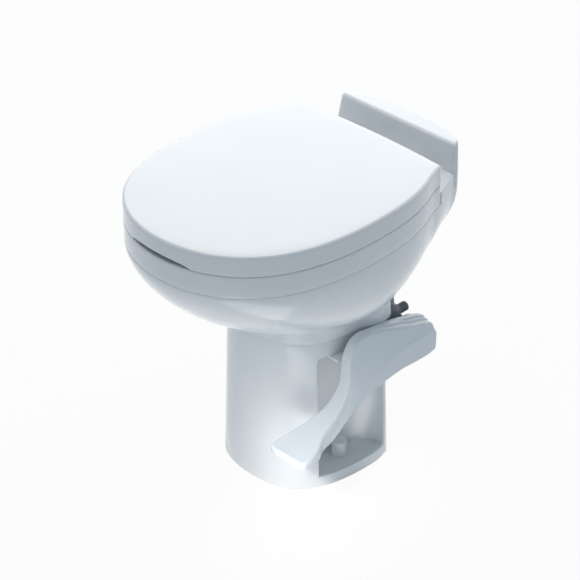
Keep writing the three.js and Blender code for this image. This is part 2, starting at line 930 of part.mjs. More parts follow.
function shutterBall() {
  const half = radians(ballHalfDegrees);
  const steps = 5;
  const arc = (radius) =>
    counted(steps + 1).map((step) => {
      const turn = (step / steps) * half;
      return [radius * Math.sin(turn), radius * Math.cos(turn)];
    });
  const outside = arc(ballRadius);
  const inside = arc(ballRadius - ballWall);
  const cap = turned([...inside, ...outside.reverse()], point(0, 0, 0), axisZ, 24);
  const earFarX = ballEarX + ballEarThickness;
  const earRadius = Math.sqrt(ballRadius ** 2 - earFarX ** 2);
  const earArc = counted(7).map((step) => {
    const turn = mix(-half, half, step / 6);
    return [earRadius * Math.sin(turn), earRadius * Math.cos(turn)];
  });
  const outline = [...earArc, [ballHubRadius, 0], [-ballHubRadius, 0]];
  const ear = (start) =>
    join(
      sideSlab(outline, start, start + ballEarThickness),
      rod(ballHubRadius, ballEarThickness, point(start, 0, 0), axisX, 24),
    );
  const bore = rod(shaftRadius + gap, 4 * ballEarX, point(-2 * ballEarX, 0, 0), axisX, 20);
  return cut(join(cap, ear(ballEarX), ear(-earFarX)), bore);
}

piece("shutter_ball", shutterBall(), finishes.dark, shutterGroup);

const shaftStartX = ballEarX + gap;
const shutterShaft = rod(shaftRadius, shaftEndX - shaftStartX, point(shaftStartX, 0, 0), axisX, 20);
piece("shutter_shaft", shutterShaft, finishes.steel, shutterGroup);
const stubEndX = pocketInnerX - pocketWall - gap;
const shutterStub = rod(shaftRadius, stubEndX - shaftStartX, point(-stubEndX, 0, 0), axisX, 20);
piece("shutter_stub", shutterStub, finishes.steel, shutterGroup);

// Gears

const gearSpan = Math.hypot(pivotY - drainY, pivotZ - ballZ);
const gearModule = (2 * gearSpan) / (pinionTeeth + sectorTeeth);
const lineOfCentres = Math.atan2(ballZ - pivotZ, drainY - pivotY);
const pitchRadius = (teeth) => (gearModule * teeth) / 2;

// The points of one involute tooth, from its trailing root to its leading root.
function tooth(teeth, centre, middle) {
  const pitch = pitchRadius(teeth);
  const pressure = radians(pressureDegrees);
  const base = pitch * Math.cos(pressure);
  const involute = (angle) => Math.tan(angle) - angle;
  const tip = pitch + addendumShare * gearModule;
  const root = pitch - dedendumShare * gearModule;
  const halfAngle = (radius) => {
    const slope = Math.acos(Math.min(1, base / radius));
    const half = Math.PI / (2 * teeth) + involute(pressure) - involute(slope);
    return half - backlash / (2 * pitch);
  };
  const steps = 3;
  const flank = counted(steps + 1).map((step) => mix(Math.max(root, base), tip, step / steps));
  if (root < base) flank.unshift(root);
  const at = (radius, angle) => [
    centre[0] + radius * Math.cos(angle),
    centre[1] + radius * Math.sin(angle),
  ];
  const rising = flank.map((radius) => at(radius, middle - halfAngle(radius)));
  const falling = flank.map((radius) => at(radius, middle + halfAngle(radius))).reverse();
  return [...rising, ...falling];
}

const ballCentre = [drainY, ballZ];
const pivotCentre = [pivotY, pivotZ];
const gearEndX = gearX + gearWidth;

function drivePinion() {
  const firstGap = lineOfCentres + Math.PI + Math.PI / pinionTeeth;
  const outline = counted(pinionTeeth).flatMap((index) =>
    tooth(pinionTeeth, ballCentre, firstGap + (index * 2 * Math.PI) / pinionTeeth),
  );
  const hub = rod(
    pinionHubRadius,
    gearWidth + pinionHubLength,
    point(gearX, drainY, ballZ),
    axisX,
    20,
  );
  const bore = rod(shaftRadius + gap, 3 * gearWidth, point(gearX - gearWidth, drainY, ballZ), axisX, 24);
  return cut(join(sideSlab(outline, gearX, gearEndX), hub), bore);
}

piece("drive_pinion", drivePinion(), finishes.grey);

const toothStep = (2 * Math.PI) / sectorTeeth;
const sectorMiddle = lineOfCentres + ((sectorFirstTooth + sectorLastTooth) / 2) * toothStep;
const sectorRoot = pitchRadius(sectorTeeth) - dedendumShare * gearModule;
const onSector = (radius, angle) => [
  pivotY + radius * Math.cos(angle),
  pivotZ + radius * Math.sin(angle),
];
const sectorScrews = sectorScrewReach.map((far) => onSector(far, sectorMiddle));

function gearSector() {
  const indices = counted(sectorLastTooth - sectorFirstTooth + 1).map((i) => i + sectorFirstTooth);
  const teeth = indices.flatMap((index) =>
    tooth(sectorTeeth, pivotCentre, lineOfCentres + index * toothStep),
  );
  const spans = counted(9).map((step) =>
    mix(sectorLastTooth + 0.5, sectorFirstTooth - 0.5, step / 8),
  );
  const back = spans.map((span) =>
    onSector(sectorRoot - sectorRim, lineOfCentres + span * toothStep),
  );
  const start = onSector(sectorRoot, lineOfCentres + (sectorFirstTooth - 0.5) * toothStep);
  const end = onSector(sectorRoot, lineOfCentres + (sectorLastTooth + 0.5) * toothStep);
  const rim = sideSlab([start, ...teeth, end, ...back], gearX, gearEndX);
  const armEnd = sectorRoot - sectorRim / 2;
  const flare = (toothStep * (indices.length - 1)) / 2;
  const side = (way) => [
    pivotY - way * sectorArmHalf * Math.sin(sectorMiddle),
    pivotZ + way * sectorArmHalf * Math.cos(sectorMiddle),
  ];
  const arm = sideSlab(
    [side(-1), onSector(armEnd, sectorMiddle - flare), onSector(armEnd, sectorMiddle + flare), side(1)],
    gearX,
    gearEndX,
  );
  const hubLength = pedalOuterX - pedalWall - gap - sectorHubX;
  const hub = rod(sectorHubRadius, hubLength, point(sectorHubX, pivotY, pivotZ), axisX, 28);
  const bore = rod(
    shaftRadius + gap,
    hubLength + 2 * overrun,
    point(sectorHubX - overrun, pivotY, pivotZ),
    axisX,
    20,
  );
  const holes = sectorScrews.map(([y, z]) =>
    rod(screwRadius + gap, gearWidth + 2 * overrun, point(gearX - overrun, y, z), axisX, 12),
  );
  return cut(join(rim, arm, hub), bore, ...holes);
}

piece("gear_sector", gearSector(), finishes.grey);

const pivotStartX = camX - pivotOverhang;
const pivotEndX = pedalOuterX - pedalWall - 2 * gap;
const pivotShaft = rod(
  shaftRadius,
  pivotEndX - pivotStartX,
  point(pivotStartX, pivotY, pivotZ),
  axisX,
  24,
);
piece("pivot_shaft", pivotShaft, finishes.steel);

// Pedal cover: stations along the arm give the top ridge, the lower edge and the two sides.
// Each row holds ridge y and z, lower y and z, inner x and outer x.
const pedalLength = 304;
const pedalHeight = 150;
const pedalRearY = 162;
const pedalLowZ = 117;
const padInnerX = 93;
const padOuterX = 163;
const pedalHubInnerX = 107;
const pedalStationShares = [
  [-0.01, 0.68, -0.01, 0.45, -1.0, 1, 0],
  [-0.004, 0.712, -0.002, 0.405, -1.0, 1, 0],
  [0.02, 0.74, 0.022, 0.387, -1.0, 1, 0],
  [0.12, 0.806, 0.13, 0.38, -1.0, 1, 0],
  [0.205, 0.86, 0.22, 0.39, -0.85, 1, 0],
  [0.33, 0.933, 0.33, 0.373, -0.3, 1, 0],
  [0.425, 0.985, 0.42, 0.34, 0, 1, 0],
  [0.49, 1.0, 0.475, 0.31, 0, 1, 0],
  [0.54, 0.965, 0.51, 0.287, 0, 1, 0],
  [0.573, 0.873, 0.54, 0.257, 0, 1, 0],
  [0.59, 0.7, 0.565, 0.233, 0, 1, 0],
  [0.595, 0.553, 0.59, 0.207, 0, 1, 0],
  [0.608, 0.453, 0.615, 0.173, 0, 1, 0.12],
  [0.638, 0.353, 0.647, 0.127, 0, 1, 0.2],
  [0.684, 0.267, 0.69, 0.06, 0, 1, 0.35],
  [0.737, 0.213, 0.737, 0.02, 0, 1.05, 0.5],
  [0.796, 0.167, 0.796, 0.01, 0, 1.2, 0.7],
  [0.85, 0.133, 0.852, 0.007, 0, 1.68, 0.88],
  [0.9, 0.113, 0.905, 0.013, 0, 1.96, 0.98],
  [0.95, 0.1, 0.953, 0.02, 0, 2.0, 1],
  [0.98, 0.09, 0.982, 0.03, 0, 1.9, 0.92],
  [0.994, 0.08, 0.995, 0.035, 0, 1.6, 0.72],
];

// One station with real sizes: share 0 to 1 of the pad's flare, outer and inner.
const pedalStations = pedalStationShares.map(([ry, rz, ly, lz, hub, out, flare]) => ({
  ridge: [pedalRearY - ry * pedalLength, pedalLowZ + rz * pedalHeight],
  lower: [pedalRearY - ly * pedalLength, pedalLowZ + lz * pedalHeight],
  inner: mix(
    mix(pedalInnerX, pedalHubInnerX, -hub),
    padInnerX,
    flare,
  ),
  outer: mix(pedalOuterX, padOuterX, out - 1),
}));

// The ridge's inward normal at a station, in the side view.
const ridgeNormals = pedalStations.map((_, i) => {
  const before = pedalStations[Math.max(i - 1, 0)].ridge;
  const after = pedalStations[Math.min(i + 1, pedalStations.length - 1)].ridge;
  const [dy, dz] = [after[0] - before[0], after[1] - before[1]];
  const size = Math.hypot(dy, dz);
  return [-dz / size, dy / size];
});

// The pedal's section at a station, drawn in at the top and the sides by a wall.
function pedalRing(index, wall, deep, innerWall = wall) {
  const { ridge, lower, inner, outer } = pedalStations[index];
  const normal = ridgeNormals[index];
  const top = [ridge[0] + normal[0] * deep, ridge[1] + normal[1] * deep];
  const [dy, dz] = [lower[0] - ridge[0], lower[1] - ridge[1]];
  const height = Math.hypot(dy, dz);
  const down = [dy / height, dz / height];
  const low = wall ? [lower[0] + down[0] * overrun, lower[1] + down[1] * overrun] : lower;
  const radius = Math.min(pedalEdgeRadius - Math.min(wall, pedalEdgeRadius / 2), height / 3);
  const [left, right] = [inner + innerWall, outer - wall];
  const cuts = counted(4).map((step) => (step / 3) * (Math.PI / 2));
  const along = (depth) => [top[0] + down[0] * depth, top[1] + down[1] * depth];
  const rightEdge = cuts.map((turn) => {
    const [y, z] = along(radius * (1 - Math.cos(turn)));
    return point(right - radius * (1 - Math.sin(turn)), y, z);
  });
  const leftEdge = cuts.map((turn) => {
    const [y, z] = along(radius * (1 - Math.cos(turn)));
    return point(left + radius * (1 - Math.sin(turn)), y, z);
  });
  return [...rightEdge, point(right, ...low), point(left, ...low), ...leftEdge.reverse()];
}

function pedalCover() {
  const all = counted(pedalStations.length);
  const hollow = all.slice(1, -1);
  const lipStart = 3;
  const lipEnd = 14;
  const outside = loft(all.map((i) => pedalRing(i, 0, 0)));
  const inside = loft(hollow.map((i) => pedalRing(i, pedalWall, pedalWall)));
  const innerSide = loft(
    hollow
      .slice(0, lipEnd)
      .map((i) => pedalRing(i, pedalWall, i < lipStart ? pedalWall : pedalLip, -overrun)),
  );
  const bosses = sectorScrews.map(([y, z]) =>
    rod(
      sectorBossRadius,
      pedalOuterX - pedalWall / 2 - gearEndX - gap,
      point(gearEndX + gap, y, z),
      axisX,
      16,
    ),
  );
  const drills = sectorScrews.map(([y, z]) =>
    rod(screwRadius + gap, pedalOuterX - pedalWall - gearEndX, point(gearEndX, y, z), axisX, 12),
  );
  return cut(join(cut(outside, inside, innerSide), ...bosses), ...drills);
}

piece("pedal_cover", pedalCover(), finishes.pedalGrey);

sectorScrews.forEach(([y, z], i) => {
  const startX = pedalOuterX - pedalWall - 2 * gap;
  const body = screw(startX - gearX + gap, point(0, 0, 0), axisX.clone().negate());
  const mesh = piece("sector_screw_" + (i + 1), body, finishes.steel);
  mesh.position.set(startX, y, z);
});

// Pedal bracket, with a shelf for the water valve

function pedalBracket() {
  const endX = bracketX + bracketThickness;
  const wallY = baseRearY - overrun * 4;
  const footRear = baseRearY - bracketFootBottomZ * Math.tan(radians(draftDegrees)) + bracketFootDepth;
  const web = sideSlab(
    [
      [wallY, bracketFootBottomZ],
      [footRear, bracketFootBottomZ],
      [pivotY, pivotZ - bracketEyeRadius],
      [pivotY, pivotZ + bracketEyeRadius],
      [wallY, pivotZ + bracketEyeRadius],
    ],
    bracketX,
    endX,
  );
  const eye = rod(bracketEyeRadius, bracketThickness, point(bracketX, pivotY, pivotZ), axisX, 40);
  const boss = rod(
    bracketBossRadius,
    bracketThickness + bracketBossLength,
    point(bracketX, pivotY, pivotZ),
    axisX,
    28,
  );
  const foot = box([bracketFootX, endX], [wallY, footRear], [bracketFootBottomZ, shelfZ + shelfThickness]);
  const shelf = box([shelfX, endX], [wallY, shelfRearY], [shelfZ, shelfZ + shelfThickness]);
  const bore = rod(
    shaftRadius + gap,
    bracketThickness + bracketBossLength + 2 * overrun,
    point(bracketX - overrun, pivotY, pivotZ),
    axisX,
    20,
  );
  const holes = bracketScrewZ.map((z) =>
    rod(screwRadius + gap, 10 * overrun, point(bracketScrewX, wallY - overrun, z), axisY, 12),
  );
  return cut(join(web, eye, boss, foot, shelf), pedestalBlock(-gap, 0, pedestalTopZ), bore, ...holes);
}

piece("pedal_bracket", pedalBracket(), finishes.white);

bracketScrewZ.forEach((z, i) => {
  const footRear = baseRearY - bracketFootBottomZ * Math.tan(radians(draftDegrees)) + bracketFootDepth;
  const body = screw(bracketScrewLength, point(0, 0, 0), axisY);
  const mesh = piece("bracket_screw_" + (i + 1), body, finishes.steel);
  mesh.position.set(bracketScrewX, footRear + gap - bracketScrewLength, z);
});

// Bracket under the pocket's roof for the shutter shaft's outer end

function shaftBracket() {
  const top = pocketTopZ - gap;
  const endX = lugX + lugThickness;
  const web = box([webInnerX, endX], [webFrontY, webRearY], [top - webThickness, top]);
  const lug = join(
    rod(lugRadius, lugThickness, point(lugX, drainY, ballZ), axisX, 32),
    box([lugX, endX], [drainY - lugRadius, drainY + lugRadius], [ballZ, top]),
  );
  const bore = rod(
    shaftRadius + gap,
    lugThickness + 2 * overrun,
    point(lugX - overrun, drainY, ballZ),
    axisX,
    20,
  );
  const holes = [webFrontY + webScrewInset, webRearY - webScrewInset].map((y) =>
    rod(
      screwRadius + gap,
      webThickness + 2 * overrun,
      point(webScrewX, y, top - webThickness - overrun),
      axisZ,
      12,
    ),
  );
  return cut(join(web, lug), bore, ...holes);
}

piece("shaft_bracket", shaftBracket(), finishes.white);

// Return spring around the bracket's boss

class Coil extends THREE.Curve {
  constructor(radius, length, turns, place) {
    super();
    Object.assign(this, { radius, length, turns, place });
  }
  getPoint(share, target = point()) {
    const turn = share * this.turns * 2 * Math.PI;
    return target.set(
      this.place.x + share * this.length,
      this.place.y + this.radius * Math.cos(turn),
      this.place.z + this.radius * Math.sin(turn),
    );
  }
}

// A wire wound along X: rings square to the helix, closed at both ends.
function coilSpring(radius, length, turns, wire, place) {
  const helix = new Coil(radius, length, turns, place);
  const steps = turns * springSteps;
  const rings = counted(steps + 1).map((step) => {
    const turn = (step / steps) * turns * 2 * Math.PI;
    const centre = helix.getPoint(step / steps);
    const outward = point(0, Math.cos(turn), Math.sin(turn));
    return counted(springSides).map((side) => {
      const round = (side / springSides) * 2 * Math.PI;
      const offset = outward.clone().multiplyScalar(wire * Math.cos(round));
      return centre.clone().add(offset).addScaledVector(axisX, wire * Math.sin(round));
    });
  });
  return loft(rings);
}

const springStartX = bracketX + bracketThickness + springWire + gap;
const springLength = sectorHubX - gap - springWire - springStartX;
const returnSpring = coilSpring(
  springRadius,
  springLength,
  springTurns,
  springWire,
  point(springStartX, pivotY, pivotZ),
);
piece("return_spring", returnSpring, finishes.steel);

// Valve cam on the pivot shaft and the valve that it works

function valveCam() {
  const hubLength = bracketX - gap - camX;
  const hub = rod(camHubRadius, hubLength, point(camX, pivotY, pivotZ), axisX, 24);
  const arm = box(
    [camX, camX + camThickness],
    [pivotY - camNoseRadius, pivotY + camNoseRadius],
    [pivotZ, pivotZ + camReach],
  );
  const nose = rod(camNoseRadius, camThickness, point(camX, pivotY, pivotZ + camReach), axisX, 20);
  const bore = rod(
    shaftRadius + gap,
    hubLength + 2 * overrun,
    point(camX - overrun, pivotY, pivotZ),
    axisX,
    20,
  );
  return cut(join(hub, arm, nose), bore);
}

piece("valve_cam", valveCam(), finishes.grey);

const plungerX = camX + camThickness / 2;
const plungerZ = pivotZ + camReach;
const plungerEndY = pivotY - camNoseRadius - gap;
const valveRearY = valveFrontY + valveDepth;
const plungerPlace = (y) => point(plungerX, y, plungerZ);
const chamberFrontY = valveFrontY + chamberWall;

function valveBody() {
  const [left, right] = [valveX, valveX + valveWidth];
  const outline = [
    [valveFrontY, valveBottomZ],
    [valveRearY, valveBottomZ],
    [valveRearY, valveTopZ - valveEdge],
    [valveRearY - valveEdge, valveTopZ],
    [valveFrontY + valveEdge, valveTopZ],
    [valveFrontY, valveTopZ - valveEdge],
  ];
  const outlet = rod(
    hoseRadius - gap,
    2 * valveEdge,
    point(valveX + valveWidth / 2, valveFrontY + valveDepth / 2, valveTopZ - valveEdge),
    axisZ,
    20,
  );
  const chamber = rod(
    plungerHeadRadius + gap,
    chamberLength,
    plungerPlace(chamberFrontY),
    axisY,
    20,
  );
  const neck = rod(plungerRadius + gap, valveDepth, plungerPlace(chamberFrontY + overrun), axisY, 16);
  const seat = rod(
    nippleRadius + gap,
    nippleInset + overrun,
    point(nippleX, valveRearY - nippleInset, nippleZ),
    axisY,
    24,
  );
  const wayPlace = point(valveX + valveWidth / 2, valveFrontY + valveDepth / 2, nippleZ);
  const waterway = rod(hoseBore, 2 * valveTopZ, wayPlace, axisZ, 16);
  return cut(join(sideSlab(outline, left, right), outlet), chamber, neck, seat, waterway);
}

piece("valve_body", valveBody(), finishes.dark);

const headY = chamberFrontY + chamberLength - gap - plungerHeadThickness;
const plunger = join(
  rod(plungerHeadRadius, plungerHeadThickness, plungerPlace(headY), axisY, 20),
  rod(plungerRadius, plungerEndY - headY, plungerPlace(headY), axisY, 16),
);
piece("valve_plunger", plunger, finishes.dark);

// Threaded inlet: a hollow stem with turned ridges.
function inletNipple() {
  const ridges = Math.floor((nippleLength - nippleInset) / threadPitch);
  const outer = [[nippleRadius, 0]];
  for (const ridge of counted(ridges)) {
    const start = nippleInset + ridge * threadPitch;
    outer.push([nippleRadius, start]);
    outer.push([nippleRadius - threadDepth, start + threadPitch / 2]);
  }
  outer.push([nippleRadius, nippleInset + ridges * threadPitch]);
  const end = nippleInset + ridges * threadPitch + nippleEnd;
  const profile = [
    [nippleBore, 0],
    ...outer,
    [nippleRadius - threadDepth, end],
    [nippleBore, end],
    [nippleBore, 0],
  ];
  return turned(profile, point(nippleX, valveRearY - nippleInset + gap, nippleZ), axisY, 16);
}

piece("inlet_nipple", inletNipple(), finishes.dark);

const valveSpringLength = headY - chamberFrontY - 2 * (gap + valveSpringWire);
const valveSpring = coilSpring(
  valveSpringRadius,
  valveSpringLength,
  valveSpringTurns,
  valveSpringWire,
  point(0, 0, 0),
);
const valveSpringMesh = piece("valve_spring", valveSpring, finishes.steel);
valveSpringMesh.rotation.z = Math.PI / 2;
valveSpringMesh.position.copy(plungerPlace(chamberFrontY + gap + valveSpringWire));

// Bowl shell

const shellCentreY = 30;
const halfSteps = 14;
const skirtSteps = 8;
const cornerAngles = [
  [seatRearHalf, seatRearY],
  ...housingCurve(housingHalfWidth, housingFrontY, housingRearY, 0).slice(0, -1),
].map(([x, y]) => Math.atan2(x, shellCentreY - y));
const evenAngles = counted(halfSteps + 1).map((step) => (step / halfSteps) * Math.PI);
const halfAngles = [...evenAngles, ...cornerAngles].sort((a, b) => a - b);
const shellAngles = [...halfAngles, ...halfAngles.slice(1, -1).reverse().map((a) => 2 * Math.PI - a)];
const easedShares = (steps) =>
  counted(steps + 1).map((step) => 1 - Math.cos((step / steps) * (Math.PI / 2)));

// How round the skirt is at an angle: full at the front and sides, flatter at the rear.
function roundness(angle) {
  const away = Math.abs(Math.cos(angle));
  const facing = Math.cos(angle) > 0 ? frontBulgeShares : rearBulgeShares;
  return blend(sideBulgeShares, facing, away * away * (3 - 2 * away));
}

// The skirt between the collar and the rim, drawn in and lifted by a wall.
function skirtRings(wall, topZ) {
  const collar = reach(pedestalOutline(collarTopZ, -collarReach + creaseDepth), shellCentreY, shellAngles);
  const rim = reach(shellOutline(0), shellCentreY, shellAngles);
  return easedShares(skirtSteps).map((share) => {
    const z = mix(collarTopZ + wall, topZ, share);
    const radii = shellAngles.map((angle, i) => {
      const grown = bulge(share, roundness(angle));
      return mix(collar[i], rim[i], grown) - wall;
    });
    return ringAt(radii, shellCentreY, shellAngles, z);
  });
}

const collarRing = (z, outward) =>
  ringAt(
    reach(pedestalOutline(z, -outward), shellCentreY, shellAngles),
    shellCentreY,
    shellAngles,
    z,
  );

// An inset plan of the shell, kept in front of or behind a line.
function planSlab(inset, bottom, top, front, rear) {
  const radii = reach(shellOutline(inset), shellCentreY, shellAngles);
  const plan = [bottom, top].map((z) => ringAt(radii, shellCentreY, shellAngles, z));
  const keep = box([-seatHalfWidth, seatHalfWidth], [front, rear], [bottom - overrun, top + overrun]);
  return loft(plan).intersect(keep);
}

const housingBlock = (inset, bottom, top) =>
  loft([bottom, top].map((z) => housingLevel(z, inset)));

// The housing's plan at a height: it narrows towards its top.
function housingLevel(z, inset) {
  const share = (z - deckZ) / (housingTopZ - deckZ);
  const outline = housingOutline(
    mix(housingHalfWidth, housingTopHalfWidth, share),
    mix(housingFrontY, housingTopFrontY, share),
    mix(housingRearY, housingTopRearY, share),
    inset,
  );
  return atHeight(outline, z);
}

// The housing with its top edge rounded.
function housingSolid() {
  const steps = 4;
  const edge = counted(steps + 1).map((step) => {
    const turn = (step / steps) * (Math.PI / 2);
    const z = housingTopZ - housingEdgeRadius * (1 - Math.sin(turn));
    return housingLevel(z, housingEdgeRadius * (1 - Math.cos(turn)));
  });
  return loft([housingLevel(deckZ - overrun, 0), ...edge]);
}

function bowlShell() {
  const roll = collarRoll;
  const outer = loft([
    collarRing(collarBottomZ, collarReach - roll),
    collarRing(collarBottomZ + roll / 3, collarReach - roll / 3),
    collarRing(collarBottomZ + roll, collarReach),
    collarRing(collarTopZ - 2 * roll, collarReach - roll / 3),
    ...skirtRings(0, rimTopZ),
  ]);
  const deck = planSlab(0, rimTopZ - overrun, deckZ, deckFrontY, housingRearY + overrun);
  const ledgeBottom = rimTopZ - rimPlate - rimLedgeHeight;
  const wallRearY = deckFrontY + shellWall;
  const pedestalSeat = loft(
    [collarBottomZ - overrun, pedestalTopZ + gap].map((z) => atHeight(pedestalOutline(z, -gap), z)),
  );
  const throat = loft(
    [pedestalTopZ - overrun, collarTopZ + shellWall + overrun / 3].map((z) =>
      atHeight(pedestalOutline(z, pedestalWall + gap), z),
    ),
  );
  const hollow = loft(skirtRings(shellWall, ledgeBottom));
  const ledgeHole = planSlab(
    rimLedge,
    ledgeBottom - overrun,
    rimTopZ,
    -frontReach,
    deckFrontY - rimLedge + shellWall,
  );
  const plateRecess = planSlab(shellWall, rimTopZ - rimPlate, deckZ + overrun, -frontReach, deckFrontY);
  const deckHollow = planSlab(
    shellWall,
    ledgeBottom - overrun,
    deckZ - shellWall,
    wallRearY,
    housingRearY,
  );
  const housingHollow = housingBlock(shellWall, deckZ - 2 * overrun - shellWall, housingTopZ - shellWall);
  const service = box(
    [-serviceHalfWidth, serviceHalfWidth],
    [serviceFrontY, housingRearY + overrun],
    [serviceBottomZ, serviceTopZ],
  );
  const hingeHoles = [-1, 1].map((side) =>
    rod(
      hingeBoltRadius + gap,
      4 * shellWall,
      point(side * hingePostX, hingeY + hingeBoltSetback, deckZ - 2 * shellWall),
      axisZ,
      12,
    ),
  );
  return cut(
    join(outer, deck, housingSolid()),
    pedestalSeat,
    throat,
    hollow,
    ledgeHole,
    plateRecess,
    deckHollow,
    housingHollow,
    service,
    ...hingeHoles,
  );
}

piece("bowl_shell", bowlShell(), finishes.white);

// Bowl basin: an egg shaped opening narrows to the round outlet

function eggOutline(half, frontY, rearY) {
  const wide = mix(frontY, rearY, 0.58);
  const handle = 0.5523;
  const front = cubic(
    [0, frontY],
    [half * handle, frontY],
    [half, mix(wide, frontY, handle)],
    [half, wide],
    7,
  );
  const rear = cubic(
    [half, wide],
    [half, mix(wide, rearY, handle)],
    [half * handle, rearY],
    [0, rearY],
    7,
  );
  return mirrored([...front, ...rear.slice(1)]);
}

const basinSides = 30;
const basinAngles = counted(basinSides).map((side) => (side / basinSides) * 2 * Math.PI);

function basinRings(wall, drop, top) {
  const rim = reach(
    eggOutline(basinHalfWidth + wall, basinFrontY - wall, basinRearY + wall),
    drainY,
    basinAngles,
  );
  return easedShares(7).map((share) => {
    const radii = basinAngles.map((angle, i) => {
      const facing = Math.max(0, Math.cos(angle)) ** 2;
      const powers = blend(basinBulgeShares, basinFrontBulgeShares, facing);
      return mix(outletRadius + wall, rim[i], bulge(share, powers));
    });
    return ringAt(radii, drainY, basinAngles, mix(basinFloorZ - drop, top, share));
  });
}

function bowlBasin() {
  const plateFront = -frontReach;
  const plate = planSlab(shellWall + gap, rimTopZ - rimPlate + gap, rimTopZ, plateFront, deckFrontY - gap);
  const outer = loft(basinRings(basinWall, basinWall, rimTopZ));
  const inner = basinRings(0, 0, rimTopZ);
  const lifted = inner[inner.length - 1].map((p) => p.clone().setZ(p.z + overrun));
  const outlet = rod(
    outletFlangeRadius,
    basinFloorZ - basinWall - sealTopZ + overrun,
    point(0, drainY, sealTopZ),
    axisZ,
    24,
  );
  const bore = rod(
    outletRadius,
    basinFloorZ - sealTopZ + overrun,
    point(0, drainY, sealTopZ - overrun / 2),
    axisZ,
    24,
  );
  const nozzleHole = rod(
    nozzleRadius + gap,
    nozzleRearY - nozzleFrontY,
    point(0, nozzleFrontY, nozzleZ),
    axisY,
    24,
  );
  return cut(join(plate, outer, outlet), loft([...inner, lifted]), bore, nozzleHole);
}

piece("bowl_basin", bowlBasin(), finishes.white);

// Seat ring

// A lid or seat blank: upright side with rounded edges.
function seatBlank(bottom, top, radius, crownInset, crownDrop) {
  const steps = 3;
  const rings = [
    atHeight(seatOutline(radius / 3), bottom),
    atHeight(seatOutline(0), bottom + radius / 3),
  ];
  for (const step of counted(steps + 1)) {
    const turn = (step / steps) * (Math.PI / 2);
    const inset = radius * (1 - Math.cos(turn));
    const z = top - crownDrop - radius * (1 - Math.sin(turn));
    rings.push(atHeight(seatOutline(inset), z));
  }
  if (crownDrop) rings.push(atHeight(seatOutline(crownInset), top));
  return loft(rings);
}

const hingeBore = (x, length) =>
  rod(hingePinRadius + gap, length + 2 * overrun, point(x - overrun, hingeY, hingeZ), axisX, 20);

// A hinge lug that reaches from a rear edge to the pin, between two side places.
function hingeLug(x, bottom, top) {
  const left = x - hingeLugWidth / 2;
  const right = x + hingeLugWidth / 2;
  const rootY = seatRearY - seatWall / 2;
  const outline = [
    [rootY, bottom],
    [hingeY, hingeZ - barrelRadius],
    [hingeY + barrelRadius / 2, hingeZ],
    [hingeY, hingeZ + barrelRadius],
    [rootY, top],
  ];
  return join(
    sideSlab(outline, left, right),
    rod(barrelRadius, hingeLugWidth, point(left, hingeY, hingeZ), axisX, 28),
  );
}

const lugOffset = hingePostWidth / 2 + hingeLugWidth / 2 + gap;
const seatLugX = hingePostX - lugOffset;
const lidLugX = hingePostX + lugOffset;

function seatRing() {
  const opening = (grow, bottom, top) =>
    slab(
      eggOutline(openingHalfWidth + grow, openingFrontY - grow, openingRearY + grow),
      bottom,
      top,
    );
  const ceiling = seatTopZ - seatTopWall;
  const cavity = cut(
    slab(seatOutline(seatWall), seatBottomZ - overrun, ceiling),
    opening(seatWall, seatBottomZ - 2 * overrun, ceiling + overrun),
  );
  const places = [
    [frontBumperX, frontBumperY],
    [rearBumperX, rearBumperY],
  ].flatMap(([x, y]) => [
    [x, y],
    [-x, y],
  ]);
  const bossBottom = rimTopZ + gap + bumperHeight + gap;
  const bosses = places.map(([x, y]) =>
    rod(bumperBossRadius, ceiling - bossBottom + overrun, point(x, y, bossBottom), axisZ, 12),
  );
  const lugs = [-seatLugX, seatLugX].map((x) =>
    hingeLug(x, hingeZ - barrelRadius / 2, seatTopZ - gap),
  );
  const bores = [-1, 1].map((side) =>
    hingeBore(side * hingePostX - 2 * lugOffset, 4 * lugOffset),
  );
  const blank = seatBlank(seatBottomZ, seatTopZ, seatEdgeRadius, 0, 0);
  return [
    cut(
      join(cut(blank, cavity, opening(0, seatBottomZ - overrun, seatTopZ + overrun)), ...bosses, ...lugs),
      ...bores,
    ),
    places,
  ];
}

const [seatBody, seatBumperPlaces] = seatRing();
piece("seat_ring", seatBody, finishes.white);
seatBumperPlaces.forEach(([x, y], i) => {
  const body = rod(bumperRadius, bumperHeight, point(0, 0, 0), axisZ, 12);
  const mesh = piece("seat_bumper_" + (i + 1), body, finishes.rubber);
  mesh.position.set(x, y, rimTopZ + gap);
});

// Lid

function lidShell() {
  const blank = seatBlank(lidBottomZ, lidTopZ, lidEdgeRadius, lidCrownInset, lidCrownDrop);
  const ceiling = lidTopZ - lidWall - lidCrownDrop;
  const cavity = slab(seatOutline(lidWall), lidBottomZ - overrun, ceiling);
  const notch = solid(
    new THREE.SphereGeometry(1, 20, 12)
      .scale(notchHalfWidth, notchDepth, notchHeight)
      .translate(0, -frontReach, lidBottomZ),
  );
  const bossBottom = seatTopZ + gap + lidBumperHeight + gap;
  const bosses = [-1, 1].map((side) =>
    rod(
      bumperBossRadius,
      ceiling - bossBottom + overrun,
      point(side * lidBumperX, lidBumperY, bossBottom),
      axisZ,
      12,
    ),
  );
  const lugs = [-lidLugX, lidLugX].map((x) =>
    hingeLug(x, lidBottomZ + gap, lidBottomZ + hingeLugHeight),
  );
  const bores = [-1, 1].map((side) =>
    hingeBore(side * hingePostX - 2 * lugOffset, 4 * lugOffset),
  );
  return cut(join(cut(blank, cavity, notch), ...bosses, ...lugs), ...bores);
}

piece("lid", lidShell(), finishes.white);
for (const [side, label] of [
  [1, "right"],
  [-1, "left"],
]) {
  const body = rod(bumperRadius, lidBumperHeight, point(0, 0, 0), axisZ, 12);
  const mesh = piece("lid_bumper_" + label, body, finishes.rubber);
  mesh.position.set(side * lidBumperX, lidBumperY, seatTopZ + gap);
}

// Hinge posts with their pins, bolts and nuts

